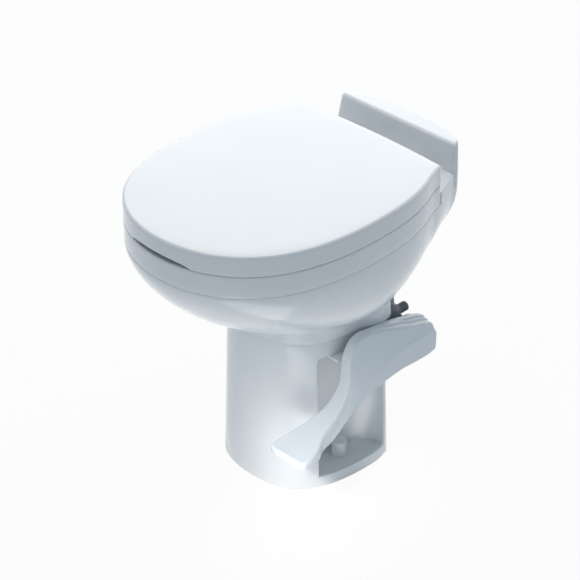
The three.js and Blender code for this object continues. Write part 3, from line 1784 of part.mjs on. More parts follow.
function hingeSet(side, label) {
  const hinge = placed(side * hingePostX, hingeY, hingeZ);
  const baseZ = deckZ + gap - hingeZ;
  const topZ = baseZ + postBaseHeight;
  const boltY = hingeBoltSetback;
  const bore = hingeBoltRadius + gap;
  const pinBore = hingePinRadius + gap;
  const post = cut(
    join(
      box(
        [-postBaseWidth / 2, postBaseWidth / 2],
        [-barrelRadius, postBaseDepth - barrelRadius],
        [baseZ, topZ],
      ),
      box([-hingePostWidth / 2, hingePostWidth / 2], [-barrelRadius, barrelRadius], [baseZ, 0]),
      rod(barrelRadius, hingePostWidth, point(-hingePostWidth / 2, 0, 0), axisX, 24),
    ),
    rod(pinBore, 2 * hingePostWidth, point(-hingePostWidth, 0, 0), axisX, 20),
    rod(bore, 3 * postBaseHeight, point(0, boltY, baseZ - postBaseHeight), axisZ, 16),
  );
  piece("hinge_post_" + label, post, finishes.white, hinge);
  const pinLength = 2 * lugOffset + hingeLugWidth;
  const pin = rod(hingePinRadius, pinLength, point(-pinLength / 2, 0, 0), axisX, 20);
  piece("hinge_pin_" + label, pin, finishes.steel, hinge);
  const headZ = topZ + gap;
  const bolt = join(
    rod(hingeBoltRadius, hingeBoltLength, point(0, 0, -hingeBoltLength), axisZ, 16),
    hexagon(hingeBoltHeadRadius, hingeBoltHeadHeight),
  );
  piece("hinge_bolt_" + label, bolt, finishes.steel, hinge).position.set(0, boltY, headZ);
  const nut = cut(
    hexagon(hingeBoltHeadRadius, hingeNutHeight),
    rod(bore, hingeNutHeight + 2 * overrun, point(0, 0, -overrun), axisZ, 16),
  );
  const nutZ = deckZ - shellWall - gap - hingeNutHeight - hingeZ;
  piece("hinge_nut_" + label, nut, finishes.steel, hinge).position.set(0, boltY, nutZ);
}

hingeSet(1, "right");
hingeSet(-1, "left");

// Vacuum breaker in the rear housing, its hoses and the flush nozzle

const breakerPlace = point(breakerX, breakerY, 0);
const breakerInner = breakerRadius - breakerWall;
const breakerBody = cut(
  join(
    turned(band(breakerInner, breakerRadius, breakerBottomZ, breakerTopZ), breakerPlace, axisZ, 16),
    turned(
      band(hoseBore, breakerRadius, breakerBottomZ, breakerBottomZ + breakerWall),
      breakerPlace,
      axisZ,
      16,
    ),
    turned(
      band(hoseBore, breakerStubRadius, breakerBottomZ - breakerStubLength, breakerBottomZ + breakerWall),
      breakerPlace,
      axisZ,
      16,
    ),
    rod(
      breakerStubRadius,
      breakerStubLength + breakerWall,
      point(breakerX - breakerRadius - breakerStubLength, breakerY, breakerTopZ - breakerStubLength),
      axisX,
      20,
    ),
  ),
  rod(
    hoseBore,
    breakerStubLength + breakerRadius,
    point(breakerX - breakerRadius - breakerStubLength - overrun, breakerY, breakerTopZ - breakerStubLength),
    axisX,
    16,
  ),
);
piece("vacuum_breaker", breakerBody, finishes.grey);
const breakerCap = join(
  turned(
    band(breakerRadius + gap, breakerCapRadius, breakerTopZ - breakerCapHeight / 4, breakerTopZ + gap),
    breakerPlace,
    axisZ,
    16,
  ),
  rod(
    breakerCapRadius,
    breakerCapHeight / 2,
    point(breakerX, breakerY, breakerTopZ + gap),
    axisZ,
    24,
  ),
);
piece("vacuum_breaker_cap", breakerCap, finishes.grey);
const floatPlace = point(breakerX, breakerY, breakerBottomZ + breakerWall + gap);
const breakerFloat = rod(floatRadius, floatHeight, floatPlace, axisZ, 16);
piece("vacuum_breaker_float", breakerFloat, finishes.dark);

const outletX = valveX + valveWidth / 2;
const outletY = valveFrontY + valveDepth / 2;
const supplyStartZ = valveTopZ + valveEdge + gap;
const supplyEndZ = breakerBottomZ - breakerStubLength - gap;
const supplyRoute = new THREE.CatmullRomCurve3([
  point(outletX, outletY, supplyStartZ),
  point(outletX, outletY, supplyStartZ + 2 * hoseRadius),
  point(outletX, mix(outletY, breakerY, 0.12), mix(supplyStartZ, supplyEndZ, 0.25)),
  point(mix(outletX, breakerX, 0.4), mix(outletY, breakerY, 0.45), mix(supplyStartZ, supplyEndZ, 0.5)),
  point(breakerX, breakerY, supplyEndZ - 3 * hoseRadius),
  point(breakerX, breakerY, supplyEndZ),
]);
piece("supply_hose", hose(supplyRoute, hoseRadius, hoseBore, hoseSteps), finishes.hose);

const nozzleStubX = breakerX - breakerRadius - breakerStubLength - gap;
const nozzleStubZ = breakerTopZ - breakerStubLength;
const nozzleHoseEndY = nozzleRearY + gap;
const nozzleRoute = new THREE.CatmullRomCurve3([
  point(nozzleStubX, breakerY, nozzleStubZ),
  point(nozzleStubX - 2 * hoseRadius, breakerY, nozzleStubZ),
  point(hoseRadius, mix(breakerY, nozzleHoseEndY, 0.12), mix(nozzleStubZ, nozzleZ, 0.5)),
  point(0, mix(breakerY, nozzleHoseEndY, 0.45), mix(nozzleStubZ, nozzleZ, 0.93)),
  point(0, nozzleHoseEndY + 2 * hoseRadius, nozzleZ),
  point(0, nozzleHoseEndY, nozzleZ),
]);
piece("nozzle_hose", hose(nozzleRoute, hoseRadius, hoseBore, hoseSteps), finishes.hose);

const nozzleLength = nozzleRearY - nozzleFrontY;
const wallY = basinRearY + 2 * nozzleFlangeThickness;
const flangeStart = wallY - nozzleFrontY;
const flushNozzle = turned(
  [
    [nozzleBore, 0],
    [nozzleRadius, 0],
    [nozzleRadius, flangeStart],
    [nozzleFlangeRadius, flangeStart],
    [nozzleFlangeRadius, flangeStart + nozzleFlangeThickness],
    [nozzleRadius - gap, flangeStart + nozzleFlangeThickness],
    [nozzleRadius - gap, nozzleLength],
    [nozzleBore, nozzleLength],
    [nozzleBore, 0],
  ],
  point(0, nozzleFrontY, nozzleZ),
  axisY,
  16,
);
piece("flush_nozzle", flushNozzle, finishes.white);

export default toilet;
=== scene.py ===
# %% [markdown]
# # A camper's toilet with a foot pedal
# The toilet is a few large glossy mouldings around a drain. The packed frame holds every piece at its
# real size, but in flat facets. Gloss shows each facet, so this lesson works the large mouldings out
# again as smooth surfaces, in the same places and sizes, and gives every piece a finish.

# %% The frame
import json

import bmesh
import bpy
import numpy as np
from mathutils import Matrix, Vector


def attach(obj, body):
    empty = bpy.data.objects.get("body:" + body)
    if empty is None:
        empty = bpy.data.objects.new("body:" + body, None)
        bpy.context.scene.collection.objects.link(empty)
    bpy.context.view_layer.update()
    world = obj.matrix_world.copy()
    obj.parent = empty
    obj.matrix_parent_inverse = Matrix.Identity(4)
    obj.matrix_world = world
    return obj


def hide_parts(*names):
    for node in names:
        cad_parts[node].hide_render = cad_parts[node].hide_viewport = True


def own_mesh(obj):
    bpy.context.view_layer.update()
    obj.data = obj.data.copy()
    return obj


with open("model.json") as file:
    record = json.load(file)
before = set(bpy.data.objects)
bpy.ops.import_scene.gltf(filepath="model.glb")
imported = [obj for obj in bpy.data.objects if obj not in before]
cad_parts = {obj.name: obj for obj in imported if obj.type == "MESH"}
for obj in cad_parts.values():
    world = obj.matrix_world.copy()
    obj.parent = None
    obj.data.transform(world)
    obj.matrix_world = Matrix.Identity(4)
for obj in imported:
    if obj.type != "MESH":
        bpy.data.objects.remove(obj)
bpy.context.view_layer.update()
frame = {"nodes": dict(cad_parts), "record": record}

# %% [markdown]
# ## Grids of points
# Each moulding is a function of two parameters: one runs round the piece and one runs across its wall.
# numpy works out all of a surface's points at once as a grid, and the grid's rows and columns give the
# faces. Lengths are in millimetres until the mesh is made.

# %% From a grid to a mesh
MM = 0.001
SHARP_DEGREES, MERGE_DISTANCE = 38, 2e-6


def grid_quads(rows, columns, closed_rows=False, closed_columns=False):
    """Corner numbers of a grid's faces: each joins a point, its neighbour along the row and the two
    above them. A closed direction runs on from its last point to its first."""
    r = np.arange(rows if closed_rows else rows - 1)[:, None]
    c = np.arange(columns if closed_columns else columns - 1)[None, :]
    up, beside = (r + 1) % rows, (c + 1) % columns
    corners = [r * columns + c, r * columns + beside, up * columns + beside, up * columns + c]
    return np.stack(np.broadcast_arrays(*corners), -1).reshape(-1, 4)


def settle(mesh, sharp=SHARP_DEGREES):
    """Merges a mesh's doubles, turns its faces outwards, and shades it smooth between sharp edges."""
    work = bmesh.new()
    work.from_mesh(mesh)
    bmesh.ops.remove_doubles(work, verts=work.verts, dist=MERGE_DISTANCE)
    bmesh.ops.recalc_face_normals(work, faces=work.faces)
    work.to_mesh(mesh)
    work.free()
    mesh.polygons.foreach_set("use_smooth", np.ones(len(mesh.polygons), bool))
    mesh.set_sharp_from_angle(angle=np.radians(sharp))
    mesh.update()


def piece_from(name, points, faces, sharp=SHARP_DEGREES):
    """An object at the origin from an array of points in millimetres and a list of faces."""
    mesh = bpy.data.meshes.new(name)
    mesh.from_pydata((np.asarray(points) * MM).tolist(), [], faces)
    settle(mesh, sharp)
    made = bpy.data.objects.new(name, mesh)
    bpy.context.scene.collection.objects.link(made)
    return made


print("a grid of 3 by 4 points has", len(grid_quads(3, 4)), "faces")

# %% [markdown]
# Most pieces are one of two kinds of grid. A solid is a stack of rings whose first and last ring are closed
# by a fan. A wall is a closed section carried round the piece, so it has no ends.

# %% Solids and walls from rings
def lofted(name, rings):
    """A solid between rings of points, shape levels x count x 3, each end closed by a fan."""
    levels, count = rings.shape[:2]
    points = np.vstack([rings.reshape(-1, 3), rings[0].mean(0), rings[-1].mean(0)])
    faces = grid_quads(levels, count, closed_columns=True).tolist()
    here = np.arange(count)
    beside = (here + 1) % count
    first, last = levels * count, levels * count + 1
    faces += np.stack([beside, here, np.full(count, first)], -1).tolist()
    top = (levels - 1) * count
    faces += np.stack([top + here, top + beside, np.full(count, last)], -1).tolist()
    return piece_from(name, points, faces)


def walled(name, rings, sharp=SHARP_DEGREES):
    """A ring of wall: the rows run round the wall's section and the columns round the piece."""
    rows, columns = rings.shape[:2]
    faces = grid_quads(rows, columns, closed_rows=True, closed_columns=True)
    return piece_from(name, rings.reshape(-1, 3), faces.tolist(), sharp)


print("a wall of 3 by 4 points has", len(grid_quads(3, 4, closed_rows=True, closed_columns=True)), "faces")

# %% [markdown]
# ## Curves
# The plans of the mouldings are smooth lines. A line could be traced point by point, but its kinks would
# show in the gloss, so each is a cubic curve or a straight stretch, worked out from its formula. It is then
# spread evenly, so that two rings with the same count join point by point.

# %% Curves in the floor plane
def cubic(a, b, c, d, count=60):
    """Points of a cubic curve: each is the four given points weighed by the terms of (1 - t + t)^3."""
    t = np.linspace(0, 1, count)[:, None]
    a, b, c, d = (np.array(p, float) for p in (a, b, c, d))
    return (1 - t) ** 3 * a + 3 * (1 - t) ** 2 * t * b + 3 * (1 - t) * t**2 * c + t**3 * d


def mix(low, high, share):
    """The value at a share of the way from low to high."""
    return low + (high - low) * share


def ease(value, low, high):
    """0 below a low value, 1 above a high one, and a smooth rise of the form 3t^2 - 2t^3 between."""
    t = np.clip((value - low) / (high - low), 0, 1)
    return t * t * (3 - 2 * t)


def even(points, count):
    """The same line with its points spread evenly along its length."""
    steps = np.linalg.norm(np.diff(points, axis=0), axis=1)
    along = np.concatenate([[0], np.cumsum(steps)])
    wanted = np.linspace(0, along[-1], count)
    return np.stack([np.interp(wanted, along, points[:, i]) for i in range(points.shape[1])], -1)


def straight(start, end, count=60):
    """Evenly spread points from one place to another."""
    return np.linspace(np.array(start, float), np.array(end, float), count)


print("a quarter turn", cubic((0, -1), (0.55, -1), (1, -0.55), (1, 0), 3).round(2).tolist())

# %% [markdown]
# ## Corners and two equal sides
# A corner that is a sharp point on the frame is rounded here, as a moulding is. The left side mirrors the
# right one, so only the right half of a plan is drawn.

# %% Soft corners and both sides
def soft_corner(before, after, radius):
    """Two lines that meet in a corner, joined by a small curve that starts and ends a radius away."""
    corner = before[-1]
    kept = before[np.linalg.norm(before - corner, axis=1) > radius]
    rest = after[np.linalg.norm(after - corner, axis=1) > radius]
    t = np.linspace(0, 1, 12)[1:-1, None]
    turn = (1 - t) ** 2 * kept[-1] + 2 * (1 - t) * t * corner + t**2 * rest[0]
    return np.vstack([kept, turn, rest])


def both_sides(half, count):
    """A closed outline from its right half, which runs from the front to the rear."""
    right = even(half, count // 2 + 1)
    left = right[-2:0:-1] * [-1, 1]
    return np.vstack([right, left])


print("a closed outline", both_sides(straight((0, -1), (0, 1)), 8).shape)

# %% [markdown]
# ## Seat plan
# The seat, the lid and the bowl's rim share one plan: two cubic curves on each side and a straight rear
# edge. An inset draws the whole plan in, which gives the inner side of a wall or a rounded edge.

# %% Seat plan
SEAT_HALF, SEAT_FRONT, SEAT_WIDEST, SEAT_REAR, SEAT_REAR_HALF = 181, 254.8, -27, 160.7, 141.9
FRONT_PULL, SIDE_PULL = 0.335, 0.86
REAR_SIDE_PULL, REAR_SWELL, REAR_PULL = 0.68, 1.049, 0.221
CORNER_RADIUS, LEAST_CORNER = 3, 2


def seat_half(inset):
    """The right half of the seat's round part, drawn in by an inset, from the front to the corner."""
    front, half = inset - SEAT_FRONT, SEAT_HALF - inset
    rear, rear_half = SEAT_REAR - inset, SEAT_REAR_HALF - inset
    first = cubic(
        (0, front),
        (half * FRONT_PULL, front),
        (half, mix(SEAT_WIDEST, front, SIDE_PULL)),
        (half, SEAT_WIDEST),
    )
    second = cubic(
        (half, SEAT_WIDEST),
        (half, mix(SEAT_WIDEST, rear, REAR_SIDE_PULL)),
        (rear_half * REAR_SWELL, mix(rear, SEAT_WIDEST, REAR_PULL)),
        (rear_half, rear),
    )
    return np.vstack([first, second[1:]])


def seat_outline(inset, count=360, corner=CORNER_RADIUS):
    """The seat's plan, drawn in by an inset."""
    side = even(seat_half(inset), 400)
    rear = straight(side[-1], (0, side[-1, 1]), 200)
    return both_sides(soft_corner(side, rear, max(corner - inset, LEAST_CORNER)), count)


print("seat outline", seat_outline(0).shape, seat_outline(0).min(0), seat_outline(0).max(0))

# %% [markdown]
# ## Rings about a centre
# The skirt and the seat join two outlines of different form, such as an egg and the seat's plan. Points at
# the same angle from a common centre are partners, so an outline is read as a distance for each angle.

# %% Rings by angle
EGG_WIDEST, OVAL_PULL = 0.58, 0.5523


def polar(outline, centre_y):
    """Angle from the front and distance from a centre on the middle line, for an outline's points."""
    x, y = outline[:, 0], outline[:, 1] - centre_y
    return np.arctan2(x, -y), np.hypot(x, y)


def reach(outline, centre_y, angles):
    """How far an outline reaches from a centre at given angles, read off between its points."""
    own, far = polar(outline, centre_y)
    order = np.argsort(own)
    return np.interp(angles, own[order], far[order], period=2 * np.pi)


def ring_at(radii, centre_y, angles, z):
    """A ring of points from distances and angles about a centre, at one height or at one per point."""
    height = np.broadcast_to(z, angles.shape)
    return np.stack([radii * np.sin(angles), centre_y - radii * np.cos(angles), height], -1)


def at_height(outline, z):
    """A plan outline lifted to a height."""
    return np.column_stack([outline, np.broadcast_to(z, len(outline))])


def egg_outline(half, front, rear, count=240):
    """The egg of the seat's opening: two quarter ovals of different length on each side. Each is a cubic
    whose two middle points lie a share OVAL_PULL of the way to the oval's corner."""
    wide = mix(front, rear, EGG_WIDEST)
    first = cubic((0, front), (half * OVAL_PULL, front), (half, mix(wide, front, OVAL_PULL)), (half, wide))
    second = cubic((half, wide), (half, mix(wide, rear, OVAL_PULL)), (half * OVAL_PULL, rear), (0, rear))
    return both_sides(np.vstack([first, second[1:]]), count)


def quarter(count):
    """Shares of a rounded edge: how far it has come in and how far it has risen, for a quarter turn."""
    turn = np.linspace(0, np.pi / 2, count)
    return 1 - np.cos(turn), np.sin(turn)


print("egg outline", egg_outline(110, -186, 98).shape)

# %% [markdown]
# ## Lid
# The lid is a shallow shell, open below: an upright side, a rounded edge and a top that rises very
# little towards its middle. Its plan is the seat's, but its rear edge is bowed back a little. The finger
# notch is the lower edge itself, which rises in an arch at the front.

# %% Lid plan and notch
LID_BOTTOM, LID_TOP, LID_EDGE, LID_WALL, LID_RISE = 460.2, 491.9, 4.5, 4, 0.7
LID_LIP_IN, LID_LIP_DEEP, LID_INNER_ROUND, LID_CEILING_ROUND = 1.2, 1, 0.6, 4
LID_BOW, LID_BOW_START, LID_MIDDLE, LID_CEILING_SHARE = 6, 120, -40, 0.02
NOTCH_HALF, NOTCH_HEIGHT, NOTCH_INSIDE_SHARE = 57, 7, 0.7


def notch_lift(outline, depth_share):
    """How far the lid's lower edge rises: an arch over the notch's width at the front, none elsewhere."""
    x, y = outline[:, 0], outline[:, 1]
    arch = np.clip(1 - (x / NOTCH_HALF) ** 2, 0, None) ** 0.5
    return np.where(y < 0, arch, 0) * NOTCH_HEIGHT * depth_share


def lid_outline(inset):
    """The lid's plan: the seat's, with its rear edge bowed back in a shallow parabola."""
    outline = seat_outline(inset)
    x, y = outline.T
    bow = LID_BOW * (1 - (x / SEAT_REAR_HALF) ** 2) * ease(y, LID_BOW_START, SEAT_REAR - inset)
    return np.column_stack([x, y + np.clip(bow, 0, None)])


def crown(outline, share, centre_y=LID_MIDDLE):
    """An outline drawn towards the middle: share 0 is the outline and 1 is the centre."""
    centre = np.array([0, centre_y])
    return centre + (outline - centre) * (1 - share)


print("lid plan", lid_outline(0).min(0), lid_outline(0).max(0))

# %% [markdown]
# A shell like this could be cut from a block, but rings that follow the plan give one smooth surface: down
# the outside, round the lower edge and back up the inside.

# %% Lid moulding
def lid_rings():
    """Rings from the top's middle, over the edge, down the side and up the inside to the ceiling."""
    edge = lid_outline(LID_EDGE)
    rings = [
        at_height(crown(edge, share), LID_TOP - LID_RISE * (1 - share) ** 6)
        for share in np.linspace(0.97, 0, 16)
    ]
    come_in, rise = quarter(9)
    for inward, up in zip(come_in[::-1], rise[::-1]):
        outline = lid_outline(LID_EDGE * inward)
        rings.append(at_height(outline, LID_TOP - LID_RISE - LID_EDGE * (1 - up)))
    side = lid_outline(0)
    lift = notch_lift(side, 1)
    upper = LID_TOP - LID_RISE - LID_EDGE
    for share in (0.25, 0.5, 0.75, 0.92):
        rings.append(at_height(side, mix(upper, LID_BOTTOM + LID_LIP_DEEP + lift, share)))
    lip_in, lip_down = quarter(4)
    for inward, down in zip(lip_in, lip_down):
        lip = lid_outline(LID_LIP_IN * inward)
        rings.append(at_height(lip, LID_BOTTOM + LID_LIP_DEEP * (1 - down) + lift))
    inner = lid_outline(LID_WALL)
    ceiling = LID_TOP - LID_WALL - LID_RISE
    inner_lift = notch_lift(inner, NOTCH_INSIDE_SHARE)
    rings.append(at_height(lid_outline(LID_WALL - LID_INNER_ROUND), LID_BOTTOM + inner_lift))
    rings.append(at_height(inner, LID_BOTTOM + LID_INNER_ROUND + inner_lift))
    rings.append(at_height(inner, mix(LID_BOTTOM, ceiling, 0.6)))
    for inward, up in zip(*quarter(5)):
        drawn = crown(inner, LID_CEILING_SHARE * inward)
        rings.append(at_height(drawn, ceiling - LID_CEILING_ROUND * (1 - up)))
    rings += [at_height(crown(inner, share), ceiling) for share in (0.1, 0.3, 0.6, 0.97)]
    return np.array(rings)


lid = lofted("lid_moulding", lid_rings())
print("lid", len(lid.data.polygons), "faces")

# %% [markdown]
# ## Seat
# The seat is a ring with the lid's plan outside and an egg inside, hollow below like a channel. Its
# section is a closed line of points carried round the opening, so each point of the outer plan needs a
# partner on the egg: the one at the same angle from the seat's middle.

# %% Seat moulding
SEAT_BOTTOM, SEAT_TOP, SEAT_WALL, SEAT_PLATE, SEAT_EDGE = 425.8, 459.2, 4, 6, 2.4
SEAT_FOOT_ROUND, CHANNEL_CORNER = 0.4, 2
OPENING_HALF, OPENING_FRONT, OPENING_REAR, OPENING_ROUND, OPENING_FOOT = 110, -186, 98, 9, 0.8
SEAT_MIDDLE = -40


def seat_rings():
    """Rings round the channel: up the outside, over the top, down into the opening and back inside."""
    side = seat_outline(0)
    angles, _ = polar(side, SEAT_MIDDLE)

    def opening(grow):
        """The opening's egg, grown outwards, with a point at each of the plan's angles."""
        egg = egg_outline(OPENING_HALF + grow, OPENING_FRONT - grow, OPENING_REAR + grow)
        radii = reach(egg, SEAT_MIDDLE, angles)
        return ring_at(radii, SEAT_MIDDLE, angles, 0)[:, :2]

    rings = []
    for share in (0, 0.06, 0.4, 0.8):
        soft = SEAT_FOOT_ROUND * (share == 0)
        rings.append(at_height(seat_outline(soft), mix(SEAT_BOTTOM, SEAT_TOP - SEAT_EDGE, share)))
    for inward, up in zip(*quarter(7)):
        rings.append(at_height(seat_outline(SEAT_EDGE * inward), SEAT_TOP - SEAT_EDGE * (1 - up)))
    outer, inner = seat_outline(SEAT_EDGE), opening(OPENING_ROUND)
    for share in (0.15, 0.4, 0.7, 0.9):
        rings.append(at_height(mix(outer, inner, share), SEAT_TOP))
    for inward, up in zip(*quarter(9)):
        rings.append(at_height(opening(OPENING_ROUND * (1 - up)), SEAT_TOP - OPENING_ROUND * inward))
    for share in (0.3, 0.7, 1):
        z = mix(SEAT_TOP - OPENING_ROUND, SEAT_BOTTOM, share)
        rings.append(at_height(opening(OPENING_FOOT * (share == 1)), z))
    ceiling = SEAT_TOP - SEAT_PLATE
    rings.append(at_height(opening(SEAT_WALL), SEAT_BOTTOM))
    rings.append(at_height(opening(SEAT_WALL), ceiling - CHANNEL_CORNER))
    rings.append(at_height(opening(SEAT_WALL + CHANNEL_CORNER), ceiling))
    rings.append(at_height(seat_outline(SEAT_WALL + CHANNEL_CORNER), ceiling))
    rings.append(at_height(seat_outline(SEAT_WALL), ceiling - CHANNEL_CORNER))
    rings.append(at_height(seat_outline(SEAT_WALL), SEAT_BOTTOM))
    return np.array(rings)


seat = walled("seat_moulding", seat_rings())
print("seat", len(seat.data.polygons), "faces")

# %% [markdown]
# ## Pedestal outline
# The pedestal is a narrow column with a long rounded front and a flat rear. It tapers a little towards
# its top, the draft that lets a moulding leave its mould.

# %% Pedestal plan
BASE_HALF, BASE_FRONT, BASE_SIDE, BASE_REAR, BASE_REAR_HALF = 115.1, -87.7, 73.2, 105.3, 106.6
BASE_FRONT_PULL, BASE_SIDE_PULL = 0.711, 0.754
BASE_SIDE_ROUND, BASE_REAR_ROUND = 12, 9
PEDESTAL_TOP, DRAFT_DEGREES = 272, 1.45
DRAFT = np.tan(np.radians(DRAFT_DEGREES))


def pedestal_outline(height, inset, count=360):
    """The pedestal's plan at a height: the base plan drawn in by the draft and by an inset."""
    all_in = inset + height * DRAFT
    front, half = BASE_FRONT + all_in, BASE_HALF - all_in
    rear, rear_half = BASE_REAR - all_in, BASE_REAR_HALF - all_in
    side = cubic(
        (0, front),
        (half * BASE_FRONT_PULL, front),
        (half, mix(BASE_SIDE, front, BASE_SIDE_PULL)),
        (half, BASE_SIDE),
        200,
    )
    back = straight((half, BASE_SIDE), (rear_half, rear), 60)
    line = soft_corner(side, back, BASE_SIDE_ROUND)
    across = straight((rear_half, rear), (0, rear), 200)
    return both_sides(soft_corner(line, across, BASE_REAR_ROUND), count)


print("pedestal plan", pedestal_outline(0, 0).min(0), pedestal_outline(0, 0).max(0))

# %% [markdown]
# ## Bowl shell
# One moulding holds the collar that grips the pedestal, the skirt that swells out to the rim, the deck
# behind the seat and the rear housing. The skirt is a superellipse: each point of the collar runs out
# to its partner on the rim, quickly at first and upright at the end. Its powers differ at the front,
# the sides, the rear and the rear corners, and blend with the angle. First comes the rim's plan.

# %% Shell plan
SHELL_CENTRE, SHELL_WALL, RIM, DECK = 30, 4, 424.3, 445
SHOULDER_ROUND, BACK_ROUND = 14, 10
HOUSING_HALF, HOUSING_TOP_HALF, HOUSING_TOP, HOUSING_EDGE = 119.6, 114, 490.7, 5
HOUSING_FRONT, HOUSING_TOP_FRONT, HOUSING_REAR, HOUSING_TOP_REAR = 214.5, 219.8, 254.8, 253.4
BOW_WIDE, BOW_STRAIGHT, BOW_POWER = 0.995, 0.06, 0.8


def housing_bow(half, front, rear, inset, count=160):
    """The housing's bowed back from its front corner to the middle, on a superellipse."""
    wide, depth = half - inset, rear - front - inset
    side = straight((wide * BOW_WIDE, front), (wide, front + depth * BOW_STRAIGHT), 40)
    turn = np.linspace(0, np.pi / 2, count)
    bow_x = wide * np.cos(turn) ** BOW_POWER
    bow_y = front + depth * mix(BOW_STRAIGHT, 1, np.sin(turn))
    return np.vstack([side[:-1], np.column_stack([bow_x, bow_y])])


def shell_outline(inset, count=440):
    """The shell's plan: the seat's round part and the housing's back, with soft corners between."""
    side = even(seat_half(inset), 500)
    bow = housing_bow(HOUSING_HALF, HOUSING_FRONT, HOUSING_REAR, inset)
    shoulder = straight(side[-1], bow[0], 80)
    line = soft_corner(side, shoulder, SHOULDER_ROUND)
    return both_sides(soft_corner(line, bow, BACK_ROUND), count)


shell_angles, rim_reach = polar(shell_outline(0), SHELL_CENTRE)
print("shell plan", shell_outline(0).min(0), shell_outline(0).max(0))

# %% [markdown]
# At the rear the collar reaches lower and wider over the pedestal. The rim ends in a narrow lip that
# closes the view under the seat's edge.

# %% Skirt's bulge
RIM_LIP, LIP_ROUND, LEDGE_DROP = 1.3, 0.6, 8
COLLAR_BOTTOM, COLLAR_TOP, COLLAR_REACH, COLLAR_ROLL, CREASE = 260, 290, 6.5, 3, 3
COLLAR_SHOULDER, COLLAR_DROP, DROP_FULL_AT, COLLAR_GAP = 4, 13, 0.45, 0.3
SIDE_POWER, FRONT_TOP_POWER, REAR_TOP_POWER, CORNER_TOP_POWER = 2.1, 1.65, 1.6, 2.6
FRONT_FOOT_POWER, REAR_FOOT_POWER, CORNER_FOOT_POWER, CORNER_FOCUS = 1.42, 1.15, 1.0, 1.2


def bulge(share, top, foot):
    """A bulging wall's profile: 0 at its foot and 1, upright, at its top."""
    return (1 - (1 - share) ** top) ** (1 / foot)


away = np.abs(np.cos(shell_angles))
facing_share = away**2 * (3 - 2 * away)
faces_front = np.cos(shell_angles) > 0
top_power = mix(SIDE_POWER, np.where(faces_front, FRONT_TOP_POWER, REAR_TOP_POWER), facing_share)
foot_power = mix(SIDE_POWER, np.where(faces_front, FRONT_FOOT_POWER, REAR_FOOT_POWER), facing_share)
rear_corner = np.where(faces_front, 0, np.abs(np.sin(2 * shell_angles)) ** CORNER_FOCUS)
top_power = mix(top_power, CORNER_TOP_POWER, rear_corner)
foot_power = mix(foot_power, CORNER_FOOT_POWER, rear_corner)
collar_drop = COLLAR_DROP * ease(-np.cos(shell_angles), 0, DROP_FULL_AT)
print("skirt powers from", foot_power.min().round(2), "to", top_power.max().round(2))

# %% [markdown]
# The rings climb the outside from the collar to the rim and come back down inside, so the wall's thickness
# is part of the surface. The collar's rings follow the pedestal's plan, a little outside it.

# %% Skirt moulding
def pedestal_ring(z, outward, dropped=0):
    """A ring at the shell's angles that stands a distance outside the pedestal's plan. A share of the
    collar's drop lowers it towards the rear, where the pedestal is wider by its draft."""
    radii = reach(pedestal_outline(z, -outward, 720), SHELL_CENTRE, shell_angles)
    drop = dropped * collar_drop
    return ring_at(radii + drop * DRAFT, SHELL_CENTRE, shell_angles, z - drop)


def skirt_ring(share, wall=0, top=RIM):
    """The skirt's ring at a share of its height, drawn in and lifted by a wall."""
    collar = reach(pedestal_outline(COLLAR_TOP, CREASE - COLLAR_REACH, 720), SHELL_CENTRE, shell_angles)
    radii = mix(collar, rim_reach, bulge(share, top_power, foot_power)) - wall
    return ring_at(radii, SHELL_CENTRE, shell_angles, mix(COLLAR_TOP + wall, top, share))


def shell_rings():
    """Rings up the outside from the collar to the rim, over it, and down the inside to the collar."""
    rings = []
    for inward, up in zip(*quarter(5)):
        z = COLLAR_BOTTOM + COLLAR_ROLL * inward
        rings.append(pedestal_ring(z, COLLAR_REACH - COLLAR_ROLL * (1 - up), 1))
    for share in (0.2, 0.5, 0.8):
        z = mix(COLLAR_BOTTOM + COLLAR_ROLL, COLLAR_TOP - COLLAR_SHOULDER, share)
        rings.append(pedestal_ring(z, COLLAR_REACH, 1 - share))
    for inward, up in zip(*quarter(5)):
        z = COLLAR_TOP - COLLAR_SHOULDER * (1 - up)
        rings.append(pedestal_ring(z, COLLAR_REACH - CREASE * inward))
    shares = 1 - np.cos(np.linspace(0, np.pi / 2, 49))
    lip = RIM + RIM_LIP
    rings += [skirt_ring(share, top=lip - LIP_ROUND) for share in shares[1:]]
    for inward, up in list(zip(*quarter(4)))[1:]:
        radii = rim_reach - LIP_ROUND * inward
        rings.append(ring_at(radii, SHELL_CENTRE, shell_angles, lip - LIP_ROUND * (1 - up)))
    rings.append(ring_at(rim_reach - SHELL_WALL, SHELL_CENTRE, shell_angles, lip))
    ledge = RIM - LEDGE_DROP
    rings += [skirt_ring(share, SHELL_WALL, ledge) for share in shares[:0:-3]]
    inner, seated = -SHELL_WALL - COLLAR_GAP, PEDESTAL_TOP + COLLAR_GAP
    rings.append(pedestal_ring(COLLAR_TOP + SHELL_WALL, inner))
    rings.append(pedestal_ring(seated, inner))
    rings.append(pedestal_ring(seated, COLLAR_GAP))
    rings.append(pedestal_ring(COLLAR_BOTTOM, COLLAR_GAP, 1))
    return np.array(rings)


shell = walled("shell_skirt", shell_rings())
print("skirt", len(shell.data.polygons), "faces")

# %% [markdown]
# ## Cutting with a tool
# An opening or a pocket with straight walls is cut by a second solid. Blender's exact boolean does it,
# the result is kept as the piece's own mesh, and the tool goes away. A narrow bevel then softens the
# new edges, because a mould never leaves them sharp.

# %% Boolean cut and bevel
BEVEL_SEGMENTS, BEVEL_DEGREES = 2, 40


def applied(made):
    """Makes a piece's modifiers part of its mesh."""
    bpy.context.view_layer.update()
    result = bpy.data.meshes.new_from_object(made.evaluated_get(bpy.context.evaluated_depsgraph_get()))
    old = made.data
    made.modifiers.clear()
    made.data = result
    result.name = old.name
    bpy.data.meshes.remove(old)
    return made


